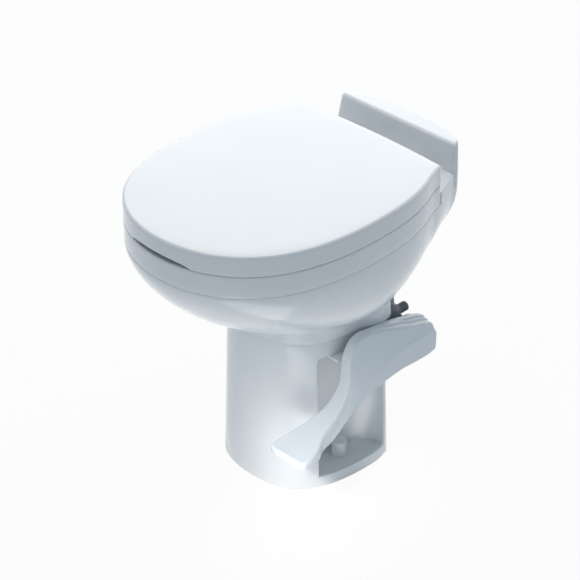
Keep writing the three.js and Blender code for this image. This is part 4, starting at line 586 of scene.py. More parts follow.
def cut(made, *tools, bevel=0.0, operation="DIFFERENCE"):
    """Subtracts solids from a piece, or keeps what it shares with them, and removes them."""
    for tool in tools:
        step = made.modifiers.new("cut", "BOOLEAN")
        step.operation = operation
        step.solver = "EXACT"
        step.object = tool
        applied(made)
        bpy.data.objects.remove(tool)
    if bevel:
        soften(made, bevel)
    return made


def soften(made, width, degrees=BEVEL_DEGREES):
    """Rounds a piece's sharp edges to a width in millimetres."""
    step = made.modifiers.new("bevel", "BEVEL")
    step.width = width * MM
    step.segments = BEVEL_SEGMENTS
    step.limit_method = "ANGLE"
    step.angle_limit = np.radians(degrees)
    step.use_clamp_overlap = True
    step.harden_normals = False
    applied(made)
    settle(made.data)
    return made


print("a bevel has", BEVEL_SEGMENTS, "segments, on edges over", BEVEL_DEGREES, "degrees")

# %% [markdown]
# The tools are mostly boxes and round drills. The first one opens the skirt at the rear, where the water
# parts are reached.

# %% Boxes and drills
OVERRUN = 5
SERVICE_LOW, SERVICE_HIGH = (-97, 118, 292), (97, 260, 410)


def block(name, low, high):
    """A box between two corners, as two rings."""
    (x0, y0, z0), (x1, y1, z1) = low, high
    plan = np.array([(x0, y0), (x1, y0), (x1, y1), (x0, y1)], float)
    return lofted(name, np.array([at_height(plan, z0), at_height(plan, z1)]))


def drill(x, y, radius, low, high):
    """An upright cylinder between two heights, to cut a round hole with."""
    angles = np.linspace(0, 2 * np.pi, 64, endpoint=False)
    circle = np.column_stack([np.cos(angles), np.sin(angles)]) * radius + [x, y]
    return lofted("drill", np.array([at_height(circle, low), at_height(circle, high)]))


cut(shell, block("service_tool", SERVICE_LOW, SERVICE_HIGH))
print("skirt with its service opening", len(shell.data.polygons), "faces")

# %% [markdown]
# ## Deck
# Behind the seat the shell rises to a deck that carries the hinges. It is a low shell with an open
# underside, made as rings again, and its two bolt holes are drilled.

# %% Deck moulding
DECK_FRONT, DECK_MIDDLE, DECK_EDGE, DECK_CORNER, DECK_UNDER_HOUSING = 162.2, 192, 2.5, 4, 4
HINGE_X, HINGE_BOLT_Y, HINGE_BOLT_RADIUS = 70, 197, 3.4


def deck_outline(inset, count=300):
    """The deck's plan, from its straight front edge to the housing."""
    side = even(seat_half(0), 500)
    shoulder = straight(side[-1], (HOUSING_HALF * BOW_WIDE, HOUSING_FRONT), 80)
    line = np.vstack([side[:-1], shoulder])
    line = line[line[:, 1] > DECK_FRONT] - [inset, 0]
    start = straight((0, DECK_FRONT + inset), (line[0, 0], DECK_FRONT + inset), 100)
    rear = straight(line[-1], (0, HOUSING_FRONT + DECK_UNDER_HOUSING - inset), 60)
    return both_sides(np.vstack([soft_corner(start, line, DECK_CORNER), rear]), count)


def deck_rings():
    """Rings from the middle of the deck's top over its edge, down its side and up under it."""
    edge = deck_outline(DECK_EDGE)
    rings = [at_height(crown(edge, share, DECK_MIDDLE), DECK) for share in (0.97, 0.6, 0.3, 0.1)]
    for inward, up in list(zip(*quarter(5)))[::-1]:
        rings.append(at_height(deck_outline(DECK_EDGE * inward), DECK - DECK_EDGE * (1 - up)))
    rings.append(at_height(deck_outline(0), RIM))
    rings.append(at_height(deck_outline(SHELL_WALL), RIM))
    under = DECK - SHELL_WALL
    ceiling = [crown(deck_outline(SHELL_WALL), share, DECK_MIDDLE) for share in (0, 0.3, 0.97)]
    return np.array(rings + [at_height(outline, under) for outline in ceiling])


deck = lofted("shell_deck", deck_rings())
below, above = DECK - SHELL_WALL - OVERRUN, DECK + OVERRUN
for side in (1, -1):
    cut(deck, drill(side * HINGE_X, HINGE_BOLT_Y, HINGE_BOLT_RADIUS, below, above))
print("deck", len(deck.data.polygons), "faces")

# %% [markdown]
# ## Rear housing
# The housing behind the deck narrows towards its top, its back is bowed, and its upper edge is well
# rounded. Its plain top has the same soft edge all round. Its outside is a solid of rings, and a second,
# smaller solid of the same form hollows it.

# %% Housing moulding
HOUSING_CORNER, HOUSING_MIDDLE, HOLLOW_CORNER = 7, 237, 3
HOUSING_LEVELS = (RIM, DECK, 452, 464, 476)


def housing_level(z, inset, count=360):
    """The housing's plan at a height, with soft front corners."""
    share = np.clip((z - DECK) / (HOUSING_TOP - DECK), 0, 1)
    half = mix(HOUSING_HALF, HOUSING_TOP_HALF, share)
    front = mix(HOUSING_FRONT, HOUSING_TOP_FRONT, share) + inset
    rear = mix(HOUSING_REAR, HOUSING_TOP_REAR, share)
    bow = housing_bow(half, front, rear, inset)
    front_edge = straight((0, front), bow[0], 160)
    return both_sides(soft_corner(front_edge, bow, max(HOUSING_CORNER - inset, LEAST_CORNER)), count)


def housing_rings():
    """Rings up the housing's side, over its rounded edge to the middle of its top, and back inside."""
    rings = [at_height(housing_level(z, 0), z) for z in HOUSING_LEVELS]
    for inward, up in zip(*quarter(9)):
        z = HOUSING_TOP - HOUSING_EDGE * (1 - up)
        rings.append(at_height(housing_level(z, HOUSING_EDGE * inward), z))
    flat = housing_level(HOUSING_TOP, HOUSING_EDGE)
    rings += [at_height(crown(flat, share, HOUSING_MIDDLE), HOUSING_TOP) for share in (0.2, 0.6, 0.98)]
    return np.array(rings)


def housing_inside():
    """Rings of the hollow that the housing's wall leaves."""
    ceiling = HOUSING_TOP - SHELL_WALL
    levels = (RIM - SHELL_WALL, DECK, ceiling - HOLLOW_CORNER)
    rings = [at_height(housing_level(z, SHELL_WALL), z) for z in levels]
    rings.append(at_height(housing_level(HOUSING_TOP, SHELL_WALL + HOLLOW_CORNER), ceiling))
    return np.array(rings)


housing = lofted("shell_housing", housing_rings())
cut(housing, lofted("hollow_tool", housing_inside()))
print("housing", len(housing.data.polygons), "faces")

# %% [markdown]
# ## Basin
# The bowl that is seen when the lid and the seat are up is an egg shaped basin that narrows to the
# round outlet. It hangs from a flat plate that fills the shell's rim.

# %% Basin moulding
BASIN_HALF, BASIN_FRONT, BASIN_REAR, BASIN_WALL, BASIN_FLOOR = 118, -196, 112, 4, 266
DRAIN_Y, OUTLET = 27.5, 29.5
OUTLET_BOTTOM, OUTLET_FLANGE, FLANGE_DROP = 251.6, 41, 3.5
BASIN_LIP, BASIN_POWER, BASIN_FRONT_POWER, BASIN_UPRIGHT = 3, 1.8, 1.25, 0.975
PLATE_THICKNESS, PLATE_CORNER, PLATE_INSET, PLATE_GAP, PLATE_DRAWN = 3.7, 6, 0.4, 0.5, 15


def basin_ring(share, wall, drop, angles):
    """The basin's ring at a share of its height, grown by a wall."""
    egg = egg_outline(BASIN_HALF + wall, BASIN_FRONT - wall, BASIN_REAR + wall, 720)
    rim = reach(egg, DRAIN_Y, angles)
    facing = np.clip(np.cos(angles), 0, None) ** 2
    power = mix(BASIN_POWER, BASIN_FRONT_POWER, facing)
    radii = mix(OUTLET + wall, rim, bulge(share, power, power))
    return ring_at(radii, DRAIN_Y, angles, mix(BASIN_FLOOR - drop, RIM, share))


def basin_rings():
    """Rings across the plate's top, into the basin and its outlet, and back under them. The plate's rear
    edge is drawn back to the deck's front wall."""
    plate = seat_outline(SHELL_WALL + PLATE_INSET, 360, PLATE_CORNER)
    rear = plate[:, 1].max()
    plate[:, 1] += (DECK_FRONT - PLATE_GAP - rear) * ease(plate[:, 1], rear - PLATE_DRAWN, rear - 1)
    angles, _ = polar(plate, DRAIN_Y)
    inner_top = basin_ring(1, BASIN_LIP, 0, angles)[:, :2]
    rings = [at_height(plate, RIM), at_height(mix(plate, inner_top, 0.5), RIM)]
    for inward, up in zip(*quarter(5)):
        lip = basin_ring(1, BASIN_LIP * (1 - up), 0, angles)[:, :2]
        rings.append(at_height(lip, RIM - BASIN_LIP * inward))
    shares = 1 - np.cos(np.linspace(0, np.pi / 2, 37))
    rings += [basin_ring(share, 0, 0, angles) for share in shares[::-1] if share < BASIN_UPRIGHT]
    flange_top = BASIN_FLOOR - FLANGE_DROP
    for radius, z in ((OUTLET, OUTLET_BOTTOM), (OUTLET_FLANGE, OUTLET_BOTTOM), (OUTLET_FLANGE, flange_top)):
        rings.append(ring_at(np.full(angles.shape, radius), DRAIN_Y, angles, z))
    under = [basin_ring(share, BASIN_WALL, BASIN_WALL, angles) for share in shares[2::3]]
    rings += [ring for ring in under if ring[0, 2] < RIM - BASIN_WALL]
    underside = RIM - PLATE_THICKNESS
    rings.append(at_height(basin_ring(1, BASIN_WALL, 0, angles)[:, :2], underside))
    rings.append(at_height(plate, underside))
    return np.array(rings)


basin = walled("basin_moulding", basin_rings())
print("basin", len(basin.data.polygons), "faces")

# %% [markdown]
# ## Pedestal
# The column is a plain loft from the floor to the bowl. Each side has a pocket for the closet bolt: its
# front wall is straight, its rear wall swings out to the side in a quarter oval, and its roof meets the
# front wall in a round corner. The pockets are cut out and their edges softened, and then the well for
# the shutter and the recess for the floor seal are drilled from below.

# %% Pedestal moulding
BASE_PLATE, COLUMN_LEVELS = 18, (0, 60, 120, 180, 240, PEDESTAL_TOP)
POCKET_INNER, POCKET_FRONT, POCKET_BEND_Y, POCKET_REAR, POCKET_BEND_X = 60, -37, 44, 91, 118
POCKET_TOP, POCKET_CORNER, POCKET_OUTSIDE, POCKET_BEVEL = 230, 9, 6, 1.6
WELL, RECESS, RECESS_TOP = 57, 64.5, 12.5


def pocket_plan(side, front, count=33):
    """The pocket's plan, with its front wall at a given place."""
    turn = np.linspace(np.pi / 2, 0, count)
    arc_x = POCKET_BEND_X - (POCKET_BEND_X - POCKET_INNER) * np.cos(turn)
    arc_y = POCKET_BEND_Y + (POCKET_REAR - POCKET_BEND_Y) * np.sin(turn)
    outer = BASE_HALF + POCKET_OUTSIDE
    start = [(POCKET_INNER, front), (outer, front), (outer, POCKET_REAR)]
    plan = np.vstack([np.array(start, float), np.column_stack([arc_x, arc_y])])
    return plan * [side, 1]


def pocket_tool(side):
    """The pocket as a solid: its plan is carried up and its front wall curves back under the roof."""
    levels = (BASE_PLATE, POCKET_TOP - POCKET_CORNER)
    rings = [at_height(pocket_plan(side, POCKET_FRONT), z) for z in levels]
    for inward, up in list(zip(*quarter(9)))[1:]:
        plan = pocket_plan(side, POCKET_FRONT + POCKET_CORNER * inward)
        rings.append(at_height(plan, POCKET_TOP - POCKET_CORNER * (1 - up)))
    return lofted("pocket_tool", np.array(rings))


def column(name, levels):
    """A solid that follows the pedestal's plan through some heights."""
    return lofted(name, np.array([at_height(pedestal_outline(z, 0), z) for z in levels]))


pedestal = column("pedestal_moulding", COLUMN_LEVELS)
cut(pedestal, pocket_tool(1), pocket_tool(-1), bevel=POCKET_BEVEL)
cut(pedestal, drill(0, DRAIN_Y, WELL, -OVERRUN, PEDESTAL_TOP + OVERRUN))
cut(pedestal, drill(0, DRAIN_Y, RECESS, -OVERRUN, RECESS_TOP))
print("pedestal", len(pedestal.data.polygons), "faces")

# %% [markdown]
# ## Foot pedal
# The pedal is one S shaped moulding: a hub at the rear, an arm that drops down the side and a pad that
# flares outwards at the front. Its side view is given by stations, each a row of shares: how far forward
# and how high its ridge is, the same for its lower point, and how much it belongs to the hub, how far
# it stands out and how much it flares.

# %% Pedal stations
PEDAL_LENGTH, PEDAL_HEIGHT, PEDAL_REAR, PEDAL_LOW = 304, 150, 162, 117
PEDAL_INNER, PEDAL_HUB_INNER, PEDAL_OUTER, PAD_INNER, PAD_OUTER = 119, 107, 143, 93, 163
PEDAL_WALL, PEDAL_LIP, PEDAL_EDGE = 3, 14, 5
PEDAL_SHARES = np.array([
    [-0.01, 0.68, -0.01, 0.45, -1.0, 1, 0],
    [-0.004, 0.712, -0.002, 0.405, -1.0, 1, 0],
    [0.02, 0.74, 0.022, 0.387, -1.0, 1, 0],
    [0.12, 0.806, 0.13, 0.38, -1.0, 1, 0],
    [0.205, 0.86, 0.22, 0.39, -0.85, 1, 0],
    [0.33, 0.933, 0.33, 0.373, -0.3, 1, 0],
    [0.425, 0.985, 0.42, 0.34, 0, 1, 0],
    [0.49, 1.0, 0.475, 0.31, 0, 1, 0],
    [0.54, 0.965, 0.51, 0.287, 0, 1, 0],
    [0.573, 0.873, 0.54, 0.257, 0, 1, 0],
    [0.59, 0.7, 0.565, 0.233, 0, 1, 0],
    [0.595, 0.553, 0.59, 0.207, 0, 1, 0],
    [0.608, 0.453, 0.615, 0.173, 0, 1, 0.12],
    [0.638, 0.353, 0.647, 0.127, 0, 1, 0.2],
    [0.684, 0.267, 0.69, 0.06, 0, 1, 0.35],
    [0.737, 0.213, 0.737, 0.02, 0, 1.05, 0.5],
    [0.796, 0.167, 0.796, 0.01, 0, 1.2, 0.7],
    [0.85, 0.133, 0.852, 0.007, 0, 1.68, 0.88],
    [0.9, 0.113, 0.905, 0.013, 0, 1.96, 0.98],
    [0.95, 0.1, 0.953, 0.02, 0, 2.0, 1],
    [0.98, 0.09, 0.982, 0.03, 0, 1.9, 0.92],
    [0.994, 0.08, 0.995, 0.035, 0, 1.6, 0.72],
])
print("pedal stations", len(PEDAL_SHARES))

# %% [markdown]
# A smooth curve through the rows gives as many sections as the surface needs. The slope at a row comes
# from its neighbours on both sides, so the curve has no kink there.

# %% Sections between the stations
def smooth_rows(rows, count):
    """More rows between the given ones, on cubic Hermite curves whose slopes are those of the
    neighbours on both sides, spread evenly along the ridge."""
    ridge = rows[:, :2] * [PEDAL_LENGTH, PEDAL_HEIGHT]
    steps = np.linalg.norm(np.diff(ridge, axis=0), axis=1)
    knots = np.concatenate([[0], np.cumsum(steps)])
    slopes = np.gradient(rows, knots, axis=0)
    wanted = np.linspace(0, knots[-1], count)
    i = np.clip(np.searchsorted(knots, wanted, side="right") - 1, 0, len(knots) - 2)
    width = (knots[i + 1] - knots[i])[:, None]
    t = (wanted - knots[i])[:, None] / width
    return (
        (1 + 2 * t) * (1 - t) ** 2 * rows[i]
        + t * (1 - t) ** 2 * width * slopes[i]
        + t**2 * (3 - 2 * t) * rows[i + 1]
        + t**2 * (t - 1) * width * slopes[i + 1]
    )


def pedal_sections(count=180):
    """Each section's ridge, lower point, inner side and outer side, as arrays over the stations."""
    rows = smooth_rows(PEDAL_SHARES, count)
    corner, reach_to = np.array([PEDAL_REAR, PEDAL_LOW]), np.array([-PEDAL_LENGTH, PEDAL_HEIGHT])
    ridge, lower = corner + rows[:, :2] * reach_to, corner + rows[:, 2:4] * reach_to
    hub, out, flare = rows[:, 4:].T
    inner = mix(mix(PEDAL_INNER, PEDAL_HUB_INNER, np.clip(-hub, 0, 1)), PAD_INNER, np.clip(flare, 0, 1))
    outer = mix(PEDAL_OUTER, PAD_OUTER, np.clip(out, 1, 2) - 1)
    return ridge, lower, inner, outer


print("pedal sections", len(pedal_sections()[0]))

# %% [markdown]
# Each section is a row of points, each with its place across the pedal and its depth below the ridge: up
# the inner side, over the ridge and down the outer side. Beside the hub the ridge comes down in two small
# steps towards the outside, and the outer side leans in above a soft crease along the middle of the arm.

# %% Pedal's section
PEDAL_STEP, RIDGE_TURNS = 2.6, np.linspace(0, np.pi / 2, 6)
OUTER_STEP_SHARES, INNER_STEP_SHARES = (0.62, 0.7), (0.3, 0.38)


def inner_side(left, radius, depth_end):
    """Points up the inner side and round its quarter turn to the ridge, as pairs of place and depth."""
    points = [(left, mix(radius, depth_end, share)) for share in (1, 0.7, 0.4, 0.2)]
    for turn in RIDGE_TURNS[::-1]:
        points.append((left + radius * (1 - np.sin(turn)), radius * (1 - np.cos(turn))))
    return points


def over_ridge(inner_edge, outer_edge, long_step, short_step):
    """Points across the ridge. Each of two smooth steps lowers it, where that step is there at all."""
    points = []
    for share in (0.1, 0.2, 0.3, 0.34, 0.38, 0.5, 0.62, 0.66, 0.7, 0.8, 0.9):
        steps = ease(share, *OUTER_STEP_SHARES) * long_step + ease(share, *INNER_STEP_SHARES) * short_step
        points.append((mix(inner_edge, outer_edge, share), PEDAL_STEP * steps))
    return points


def outer_side(right, lean, radius, drop, crease, depth_end):
    """Points round the outer turn, down the part that leans in as far as the crease, and on down."""
    points = []
    for turn in RIDGE_TURNS:
        points.append((right - lean - radius * (1 - np.sin(turn)), drop + radius * (1 - np.cos(turn))))
    crease_depth = mix(drop + radius, depth_end, crease)
    for share in (0.25, 0.5, 0.75, 0.92, 1):
        points.append((right - lean * (1 - share), mix(drop + radius, crease_depth, share)))
    points += [(right, mix(crease_depth, depth_end, share)) for share in (0.12, 0.4, 0.7, 1)]
    return points


print("points over the ridge", len(over_ridge(0, 1, 1, 1)))

# %% [markdown]
# The sections follow the stations. The steps, the lean and the crease fade in and out along the pedal,
# between two shares of its length. Near both ends the sections are drawn in, so that the ends are round.

# %% Pedal sections as rings
PEDAL_LEAN, REAR_ROUND, FRONT_ROUND, FRONT_CORNER = 6, 3, 4.5, 13
LONG_STEP_SHARES, SHORT_STEP_SHARES = (0.24, 0.4), (0.12, 0.22)
LEAN_SHARES, CREASE_SHARES, CREASE_RUN_SHARES = (0.56, 0.74), (0.14, 0.9), (-0.1, 0.62)


def end_inset(count, front):
    """How far the section is drawn in near each end, so that the ends are quarter rounds. The front's
    radius is given, because the pad's corners are rounder in plan than in thickness."""
    ridge = pedal_sections(count)[0]
    steps = np.linalg.norm(np.diff(ridge, axis=0), axis=1)
    along = np.concatenate([[0], np.cumsum(steps)])
    inset = np.zeros(count)
    for radius, far in ((REAR_ROUND, along), (front, along[-1] - along)):
        near = np.clip(radius - far, 0, radius)
        inset += radius - np.sqrt(radius**2 - near**2)
    return inset


def pedal_rings(count, wall=0.0, left_wall=None, deep=0.0, low=0.0, shaped=True):
    """A section ring per station: over the ridge from the inner side to the outer side. A wall draws
    it in, deep lowers its top, and low lengthens it downwards."""
    ridge, lower, inner, outer = pedal_sections(count)
    down = lower - ridge
    height = np.linalg.norm(down, axis=1)
    down /= height[:, None]
    tips = end_inset(count, FRONT_ROUND) * shaped
    corners = end_inset(count, FRONT_CORNER) * shaped
    back = (PEDAL_REAR - ridge[:, 0]) / PEDAL_LENGTH
    left = inner + (wall if left_wall is None else left_wall) + corners
    right = outer - wall - corners
    depth_end = height - deep + low - tips
    radius = np.minimum(PEDAL_EDGE - wall / 2, depth_end / 3)
    lean = PEDAL_LEAN * (1 - ease(back, *LEAN_SHARES))
    crease = mix(*CREASE_SHARES, ease(back, *CREASE_RUN_SHARES))
    long_step = (1 - ease(back, *LONG_STEP_SHARES)) * shaped
    short_step = (1 - ease(back, *SHORT_STEP_SHARES)) * shaped
    section = inner_side(left, radius, depth_end)
    section += over_ridge(left + radius, right - lean - radius, long_step, short_step)
    section += outer_side(right, lean, radius, PEDAL_STEP * (long_step + short_step), crease, depth_end)
    sides, depths = np.array(section).transpose(1, 2, 0)
    depths = depths + np.broadcast_to(deep + tips, (count,))[:, None]
    y = ridge[:, :1] + down[:, :1] * depths
    z = ridge[:, 1:] + down[:, 1:] * depths
    return np.stack([sides, y, z], -1)


STATION_COUNT = 190
pedal = lofted("pedal_moulding", pedal_rings(STATION_COUNT))
print("pedal block", len(pedal.data.polygons), "faces")

# %% [markdown]
# The real pedal is a shell, open below and towards the pedestal. The block is hollowed by two tools that
# follow the same stations: one from below, which stops short of both ends, and one from the inner side
# along the arm, which leaves a lip under the ridge.

# %% Pedal's hollow
HOLLOW_ROWS, HOLLOW_ROOF, HOLLOW_LOW, SIDE_WALL, SIDE_CUT = slice(2, -3), 3, 9, 2, 6
ARM_START_SHARE, ARM_END_SHARE, HUB_SHARE, STEPPED_SHARE = 0.012, 0.69, 0.12, 0.3
PEDAL_SHARP_DEGREES = 32
station_back = (PEDAL_REAR - pedal_sections(STATION_COUNT)[0][:, 0]) / PEDAL_LENGTH
arm = (station_back > ARM_START_SHARE) & (station_back < ARM_END_SHARE)
lip = np.where(station_back < HUB_SHARE, PEDAL_WALL, PEDAL_LIP)
lip = lip + 2 * PEDAL_STEP * (station_back < STEPPED_SHARE)
below_rings = pedal_rings(
    STATION_COUNT, PEDAL_WALL, deep=PEDAL_WALL + HOLLOW_ROOF, low=HOLLOW_LOW, shaped=False
)
side_rings = pedal_rings(STATION_COUNT, PEDAL_WALL + SIDE_WALL, -SIDE_CUT, lip, HOLLOW_LOW, shaped=False)
cut(pedal, lofted("inside_tool", below_rings[HOLLOW_ROWS]), lofted("side_tool", side_rings[arm]))
settle(pedal.data, PEDAL_SHARP_DEGREES)
print("pedal", len(pedal.data.polygons), "faces")

# %% [markdown]
# ## Turned pieces
# The bolt caps and the inlet's stem are round about an axis. A cap is a plain profile turned once: up
# its side, round its edge to the middle, and back along the inside.

# %% Bolt caps
BOLT_X, CAP_RADIUS, CAP_WALL, CAP_BOTTOM, CAP_TOP, CAP_ROUND = 76.2, 12, 1.2, 18.3, 43, 3
CAP_FOOT, NEAR_AXIS = 0.4, 0.01


def turned(name, profile, place, sides=64):
    """A closed profile of (radius, height) points turned about an upright axis through a place: each
    point's radius is multiplied by the cosine and the sine of the angle."""
    angles = np.linspace(0, 2 * np.pi, sides, endpoint=False)
    radius, height = np.array(profile, float).T
    across = radius[:, None] * np.cos(angles)
    along = radius[:, None] * np.sin(angles)
    up = np.broadcast_to(height[:, None], across.shape)
    return walled(name, np.stack([across, along, up], -1) + np.array(place, float))


cap_in, cap_up = quarter(7)
cap_profile = [(CAP_RADIUS - CAP_FOOT, CAP_BOTTOM), (CAP_RADIUS, CAP_BOTTOM + CAP_FOOT)]
cap_profile += [(CAP_RADIUS - CAP_ROUND * i, CAP_TOP - CAP_ROUND * (1 - u)) for i, u in zip(cap_in, cap_up)]
cap_profile += [(NEAR_AXIS, CAP_TOP), (NEAR_AXIS, CAP_TOP - CAP_WALL)]
cap_profile += [(CAP_RADIUS - CAP_ROUND, CAP_TOP - CAP_WALL), (CAP_RADIUS - CAP_WALL, CAP_TOP - CAP_ROUND)]
cap_profile += [(CAP_RADIUS - CAP_WALL, CAP_BOTTOM)]
caps = {
    label: turned(f"cap_moulding_{label}", cap_profile, (side * BOLT_X, DRAIN_Y, 0))
    for side, label in ((1, "right"), (-1, "left"))
}
print("caps", [len(cap.data.polygons) for cap in caps.values()], "faces")

# %% [markdown]
# The stem's thread is a small ridge that climbs as it goes round, so its radius depends on both the angle
# and the height.

# %% Threaded stem
STEM_X, STEM_Z, STEM_START, STEM_RADIUS, STEM_BORE, STEM_LENGTH = 88.3, 232.5, 127.3, 7.6, 4.5, 27
THREAD_PITCH, THREAD_DEPTH, THREAD_START, THREAD_END, THREAD_FADE = 3.4, 1.6, 9, 2, 3
STEM_CHAMFER, BORE_START, STEM_SHARP_DEGREES = 1, 0.5, 50


def stem_rings(levels=150, sides=48):
    """Rings of the stem: the radius dips by the thread's depth between turns, as a rounded wave of
    the height less the share of a turn, and the thread fades out near both ends. The last rings go over
    the tip and back down the bore."""
    angles = np.linspace(0, 2 * np.pi, sides, endpoint=False)
    height = np.linspace(0, STEM_LENGTH - STEM_CHAMFER, levels)[:, None]
    phase = height / THREAD_PITCH - angles / (2 * np.pi)
    wave = np.abs(2 * (phase % 1) - 1)
    starts = ease(height, THREAD_START, THREAD_START + THREAD_FADE)
    threaded = starts * (1 - ease(height, STEM_LENGTH - 2 * THREAD_END, STEM_LENGTH - THREAD_END))
    radius = STEM_RADIUS - THREAD_DEPTH * ease(wave, 0.2, 0.8) * threaded
    bore_radii = np.array([STEM_RADIUS - STEM_CHAMFER, STEM_BORE, STEM_BORE, STEM_BORE])[:, None]
    bore_heights = np.array([STEM_LENGTH, STEM_LENGTH, BORE_START, 0])[:, None]
    radius = np.vstack([radius, np.broadcast_to(bore_radii, (len(bore_radii), sides))])
    height = np.vstack([height, bore_heights])
    x = STEM_X + radius * np.sin(angles)
    z = STEM_Z + radius * np.cos(angles)
    return np.stack([x, np.broadcast_to(STEM_START + height, x.shape), z], -1)


stem = walled("stem_moulding", stem_rings(), STEM_SHARP_DEGREES)
print("stem", len(stem.data.polygons), "faces")

# %% [markdown]
# ## Hoses
# Two grey hoses lead the water up to the vacuum breaker and down to the nozzle. A hose is a circle
# carried along a smooth route. Its frame comes from the route's own direction and one fixed direction
# that the route never points along.

# %% Hoses
HOSE_RADIUS, HOSE_BORE, NOZZLE_FIXED = 7, 4.5, (0.9, 0.1, 0.3)
SUPPLY_POINTS = [
    (88.3, 118.5, 254.3), (88.3, 118.5, 268.3), (88.3, 132.5, 297.2),
    (73, 170.9, 340.2), (50, 235, 406.7), (50, 235, 427.7),
]
NOZZLE_POINTS = [
    (28.7, 235, 464), (14.7, 235, 464), (7, 223.7, 433),
    (0, 192.4, 406.3), (0, 154.3, 402), (0, 140.3, 402),
]


def smooth_route(points, count):
    """A Catmull-Rom curve through the points: each stretch blends its four nearest points."""
    p = np.array(points, float)
    p = np.vstack([2 * p[0] - p[1], p, 2 * p[-1] - p[-2]])
    t = np.linspace(0, len(points) - 1, count)
    i = np.minimum(t.astype(int), len(points) - 2)
    u = (t - i)[:, None]
    a, b, c, d = (p[i + k] for k in range(4))
    return 0.5 * (2 * b + (c - a) * u + (2 * a - 5 * b + 4 * c - d) * u**2 + (3 * b - a - 3 * c + d) * u**3)


def tube(name, route, fixed, sides=28):
    """A hose: an outer and an inner circle at each point of the route, joined at the ends."""
    along = np.gradient(route, axis=0)
    along /= np.linalg.norm(along, axis=1)[:, None]
    first = np.cross(along, np.array(fixed, float))
    first /= np.linalg.norm(first, axis=1)[:, None]
    second = np.cross(along, first)
    angles = np.linspace(0, 2 * np.pi, sides, endpoint=False)[:, None]
    circle = np.cos(angles) * first[:, None] + np.sin(angles) * second[:, None]
    outside = route[:, None] + HOSE_RADIUS * circle
    inside = route[:, None] + HOSE_BORE * circle
    return walled(name, np.vstack([outside, inside[::-1]]))


supply = tube("supply_hose_skin", smooth_route(SUPPLY_POINTS, 90), (1, 0, 0))
nozzle_line = tube("nozzle_hose_skin", smooth_route(NOZZLE_POINTS, 80), NOZZLE_FIXED)
print("hoses", len(supply.data.polygons), len(nozzle_line.data.polygons), "faces")

# %% [markdown]
# ## Small mouldings and hardware
# The brackets, gears, seals, screws and hinges keep the shapes of the frame. Each is copied, its loose
# triangles are merged, and a narrow bevel softens its edges, since no real edge is perfectly sharp and
# a thin bright line along an edge is most of what the eye sees on a small part.

# %% Softened copies
COPY_DEGREES = 35


def copied(node, bevel):
    """A softened copy of a frame node that stands in its place."""
    source = frame["nodes"][node]
    made = bpy.data.objects.new(f"{node}_soft", source.data.copy())
    bpy.context.scene.collection.objects.link(made)
    settle(made.data)
    if bevel:
        soften(made, bevel, degrees=COPY_DEGREES)
    return made


BEVELS = {
    "shaft_bracket": 0.8, "pedal_bracket": 0.9, "valve_body": 1.0, "gear_sector": 0.35,
    "drive_pinion": 0.25, "valve_cam": 0.4, "hinge_post_right": 0.8, "hinge_post_left": 0.8,
    "hinge_bolt_right": 0.4, "hinge_bolt_left": 0.4, "closet_washer_right": 0.3,
    "closet_washer_left": 0.3, "closet_nut_right": 0.4, "closet_nut_left": 0.4,
    "vacuum_breaker_cap": 0.5, "seat_bumper_1": 0.8, "seat_bumper_2": 0.8, "seat_bumper_3": 0.8,
    "seat_bumper_4": 0.8, "lid_bumper_right": 0.8, "lid_bumper_left": 0.8,
    "shutter_housing_lower": 0.5, "shutter_housing_upper": 0.5, "flush_nozzle": 0.5,
}
soft_copies = {node: copied(node, bevel) for node, bevel in BEVELS.items()}
print("softened copies", len(soft_copies))

# %% [markdown]
# ## Lugs and bosses
# Under the lid and the seat stand the lugs that hold the hinge pins, and the bosses that hold the bumpers.
# The smooth mouldings lack them. Each is what the frame's node has inside a small box, so it keeps its
# exact place on the hinge.

# %% Lugs and bosses
LUG_START, LUG_END, LUG_BEVEL = 160.2, 186, 0.6
LUGS = {"lid": (86.8, 449, 480), "seat_ring": (53.2, 449, 468)}
LUG_HALF, BOSS_HALF = 6.48, 9.5
BOSSES = {
    "lid": [(126, -104, 463.6, 487)],
    "seat_ring": [(135, -80, 429.7, 453), (104, 112, 429.7, 453)],
}


def clipped(node, low, high, bevel):
    """What a node has between two corners, softened: a lug or a boss that its smooth moulding lacks."""
    made = copied(node, 0)
    cut(made, block("clip", low, high), operation="INTERSECT")
    return soften(made, bevel) if bevel else made


fittings = {"lid": [], "seat_ring": []}
for node, (x, low, high) in LUGS.items():
    for middle in (x, -x):
        corners = (middle - LUG_HALF, LUG_START, low), (middle + LUG_HALF, LUG_END, high)
        fittings[node].append(clipped(node, *corners, LUG_BEVEL))
for node, places in BOSSES.items():
    both = [(side * x, *rest) for x, *rest in places for side in (1, -1)]
    for x, y, low, high in both:
        corners = (x - BOSS_HALF, y - BOSS_HALF, low), (x + BOSS_HALF, y + BOSS_HALF, high)
        fittings[node].append(clipped(node, *corners, 0))
print("lugs and bosses", sum(map(len, fittings.values())))

# %% [markdown]
# ## Finishes as expressions
# A finish is a small tree of nodes. Written node by node it is hard to read, so one class wraps a
# socket and turns + and * into Math nodes, and one method makes any other node. A number that is the
# same all over the surface is set on the shader itself.

# %% Sockets that can be added and multiplied
class Value:
    """One output in a node tree."""

    def __init__(self, nodes, socket):
        self.nodes, self.socket = nodes, socket

    def _math(self, operation, other):
        return self.nodes.node("ShaderNodeMath", {"operation": operation}, {0: self, 1: other})

    def __add__(self, other):
        return self._math("ADD", other)

    def __mul__(self, other):
        return self._math("MULTIPLY", other)

    __radd__, __rmul__ = __add__, __mul__


print("a value understands", [name for name in vars(Value) if name.endswith(("add__", "mul__"))])

# %% [markdown]
# The method that makes any other node takes the node's type, its settings and what its sockets are fed
# with. The floor's material and the world are such trees too.

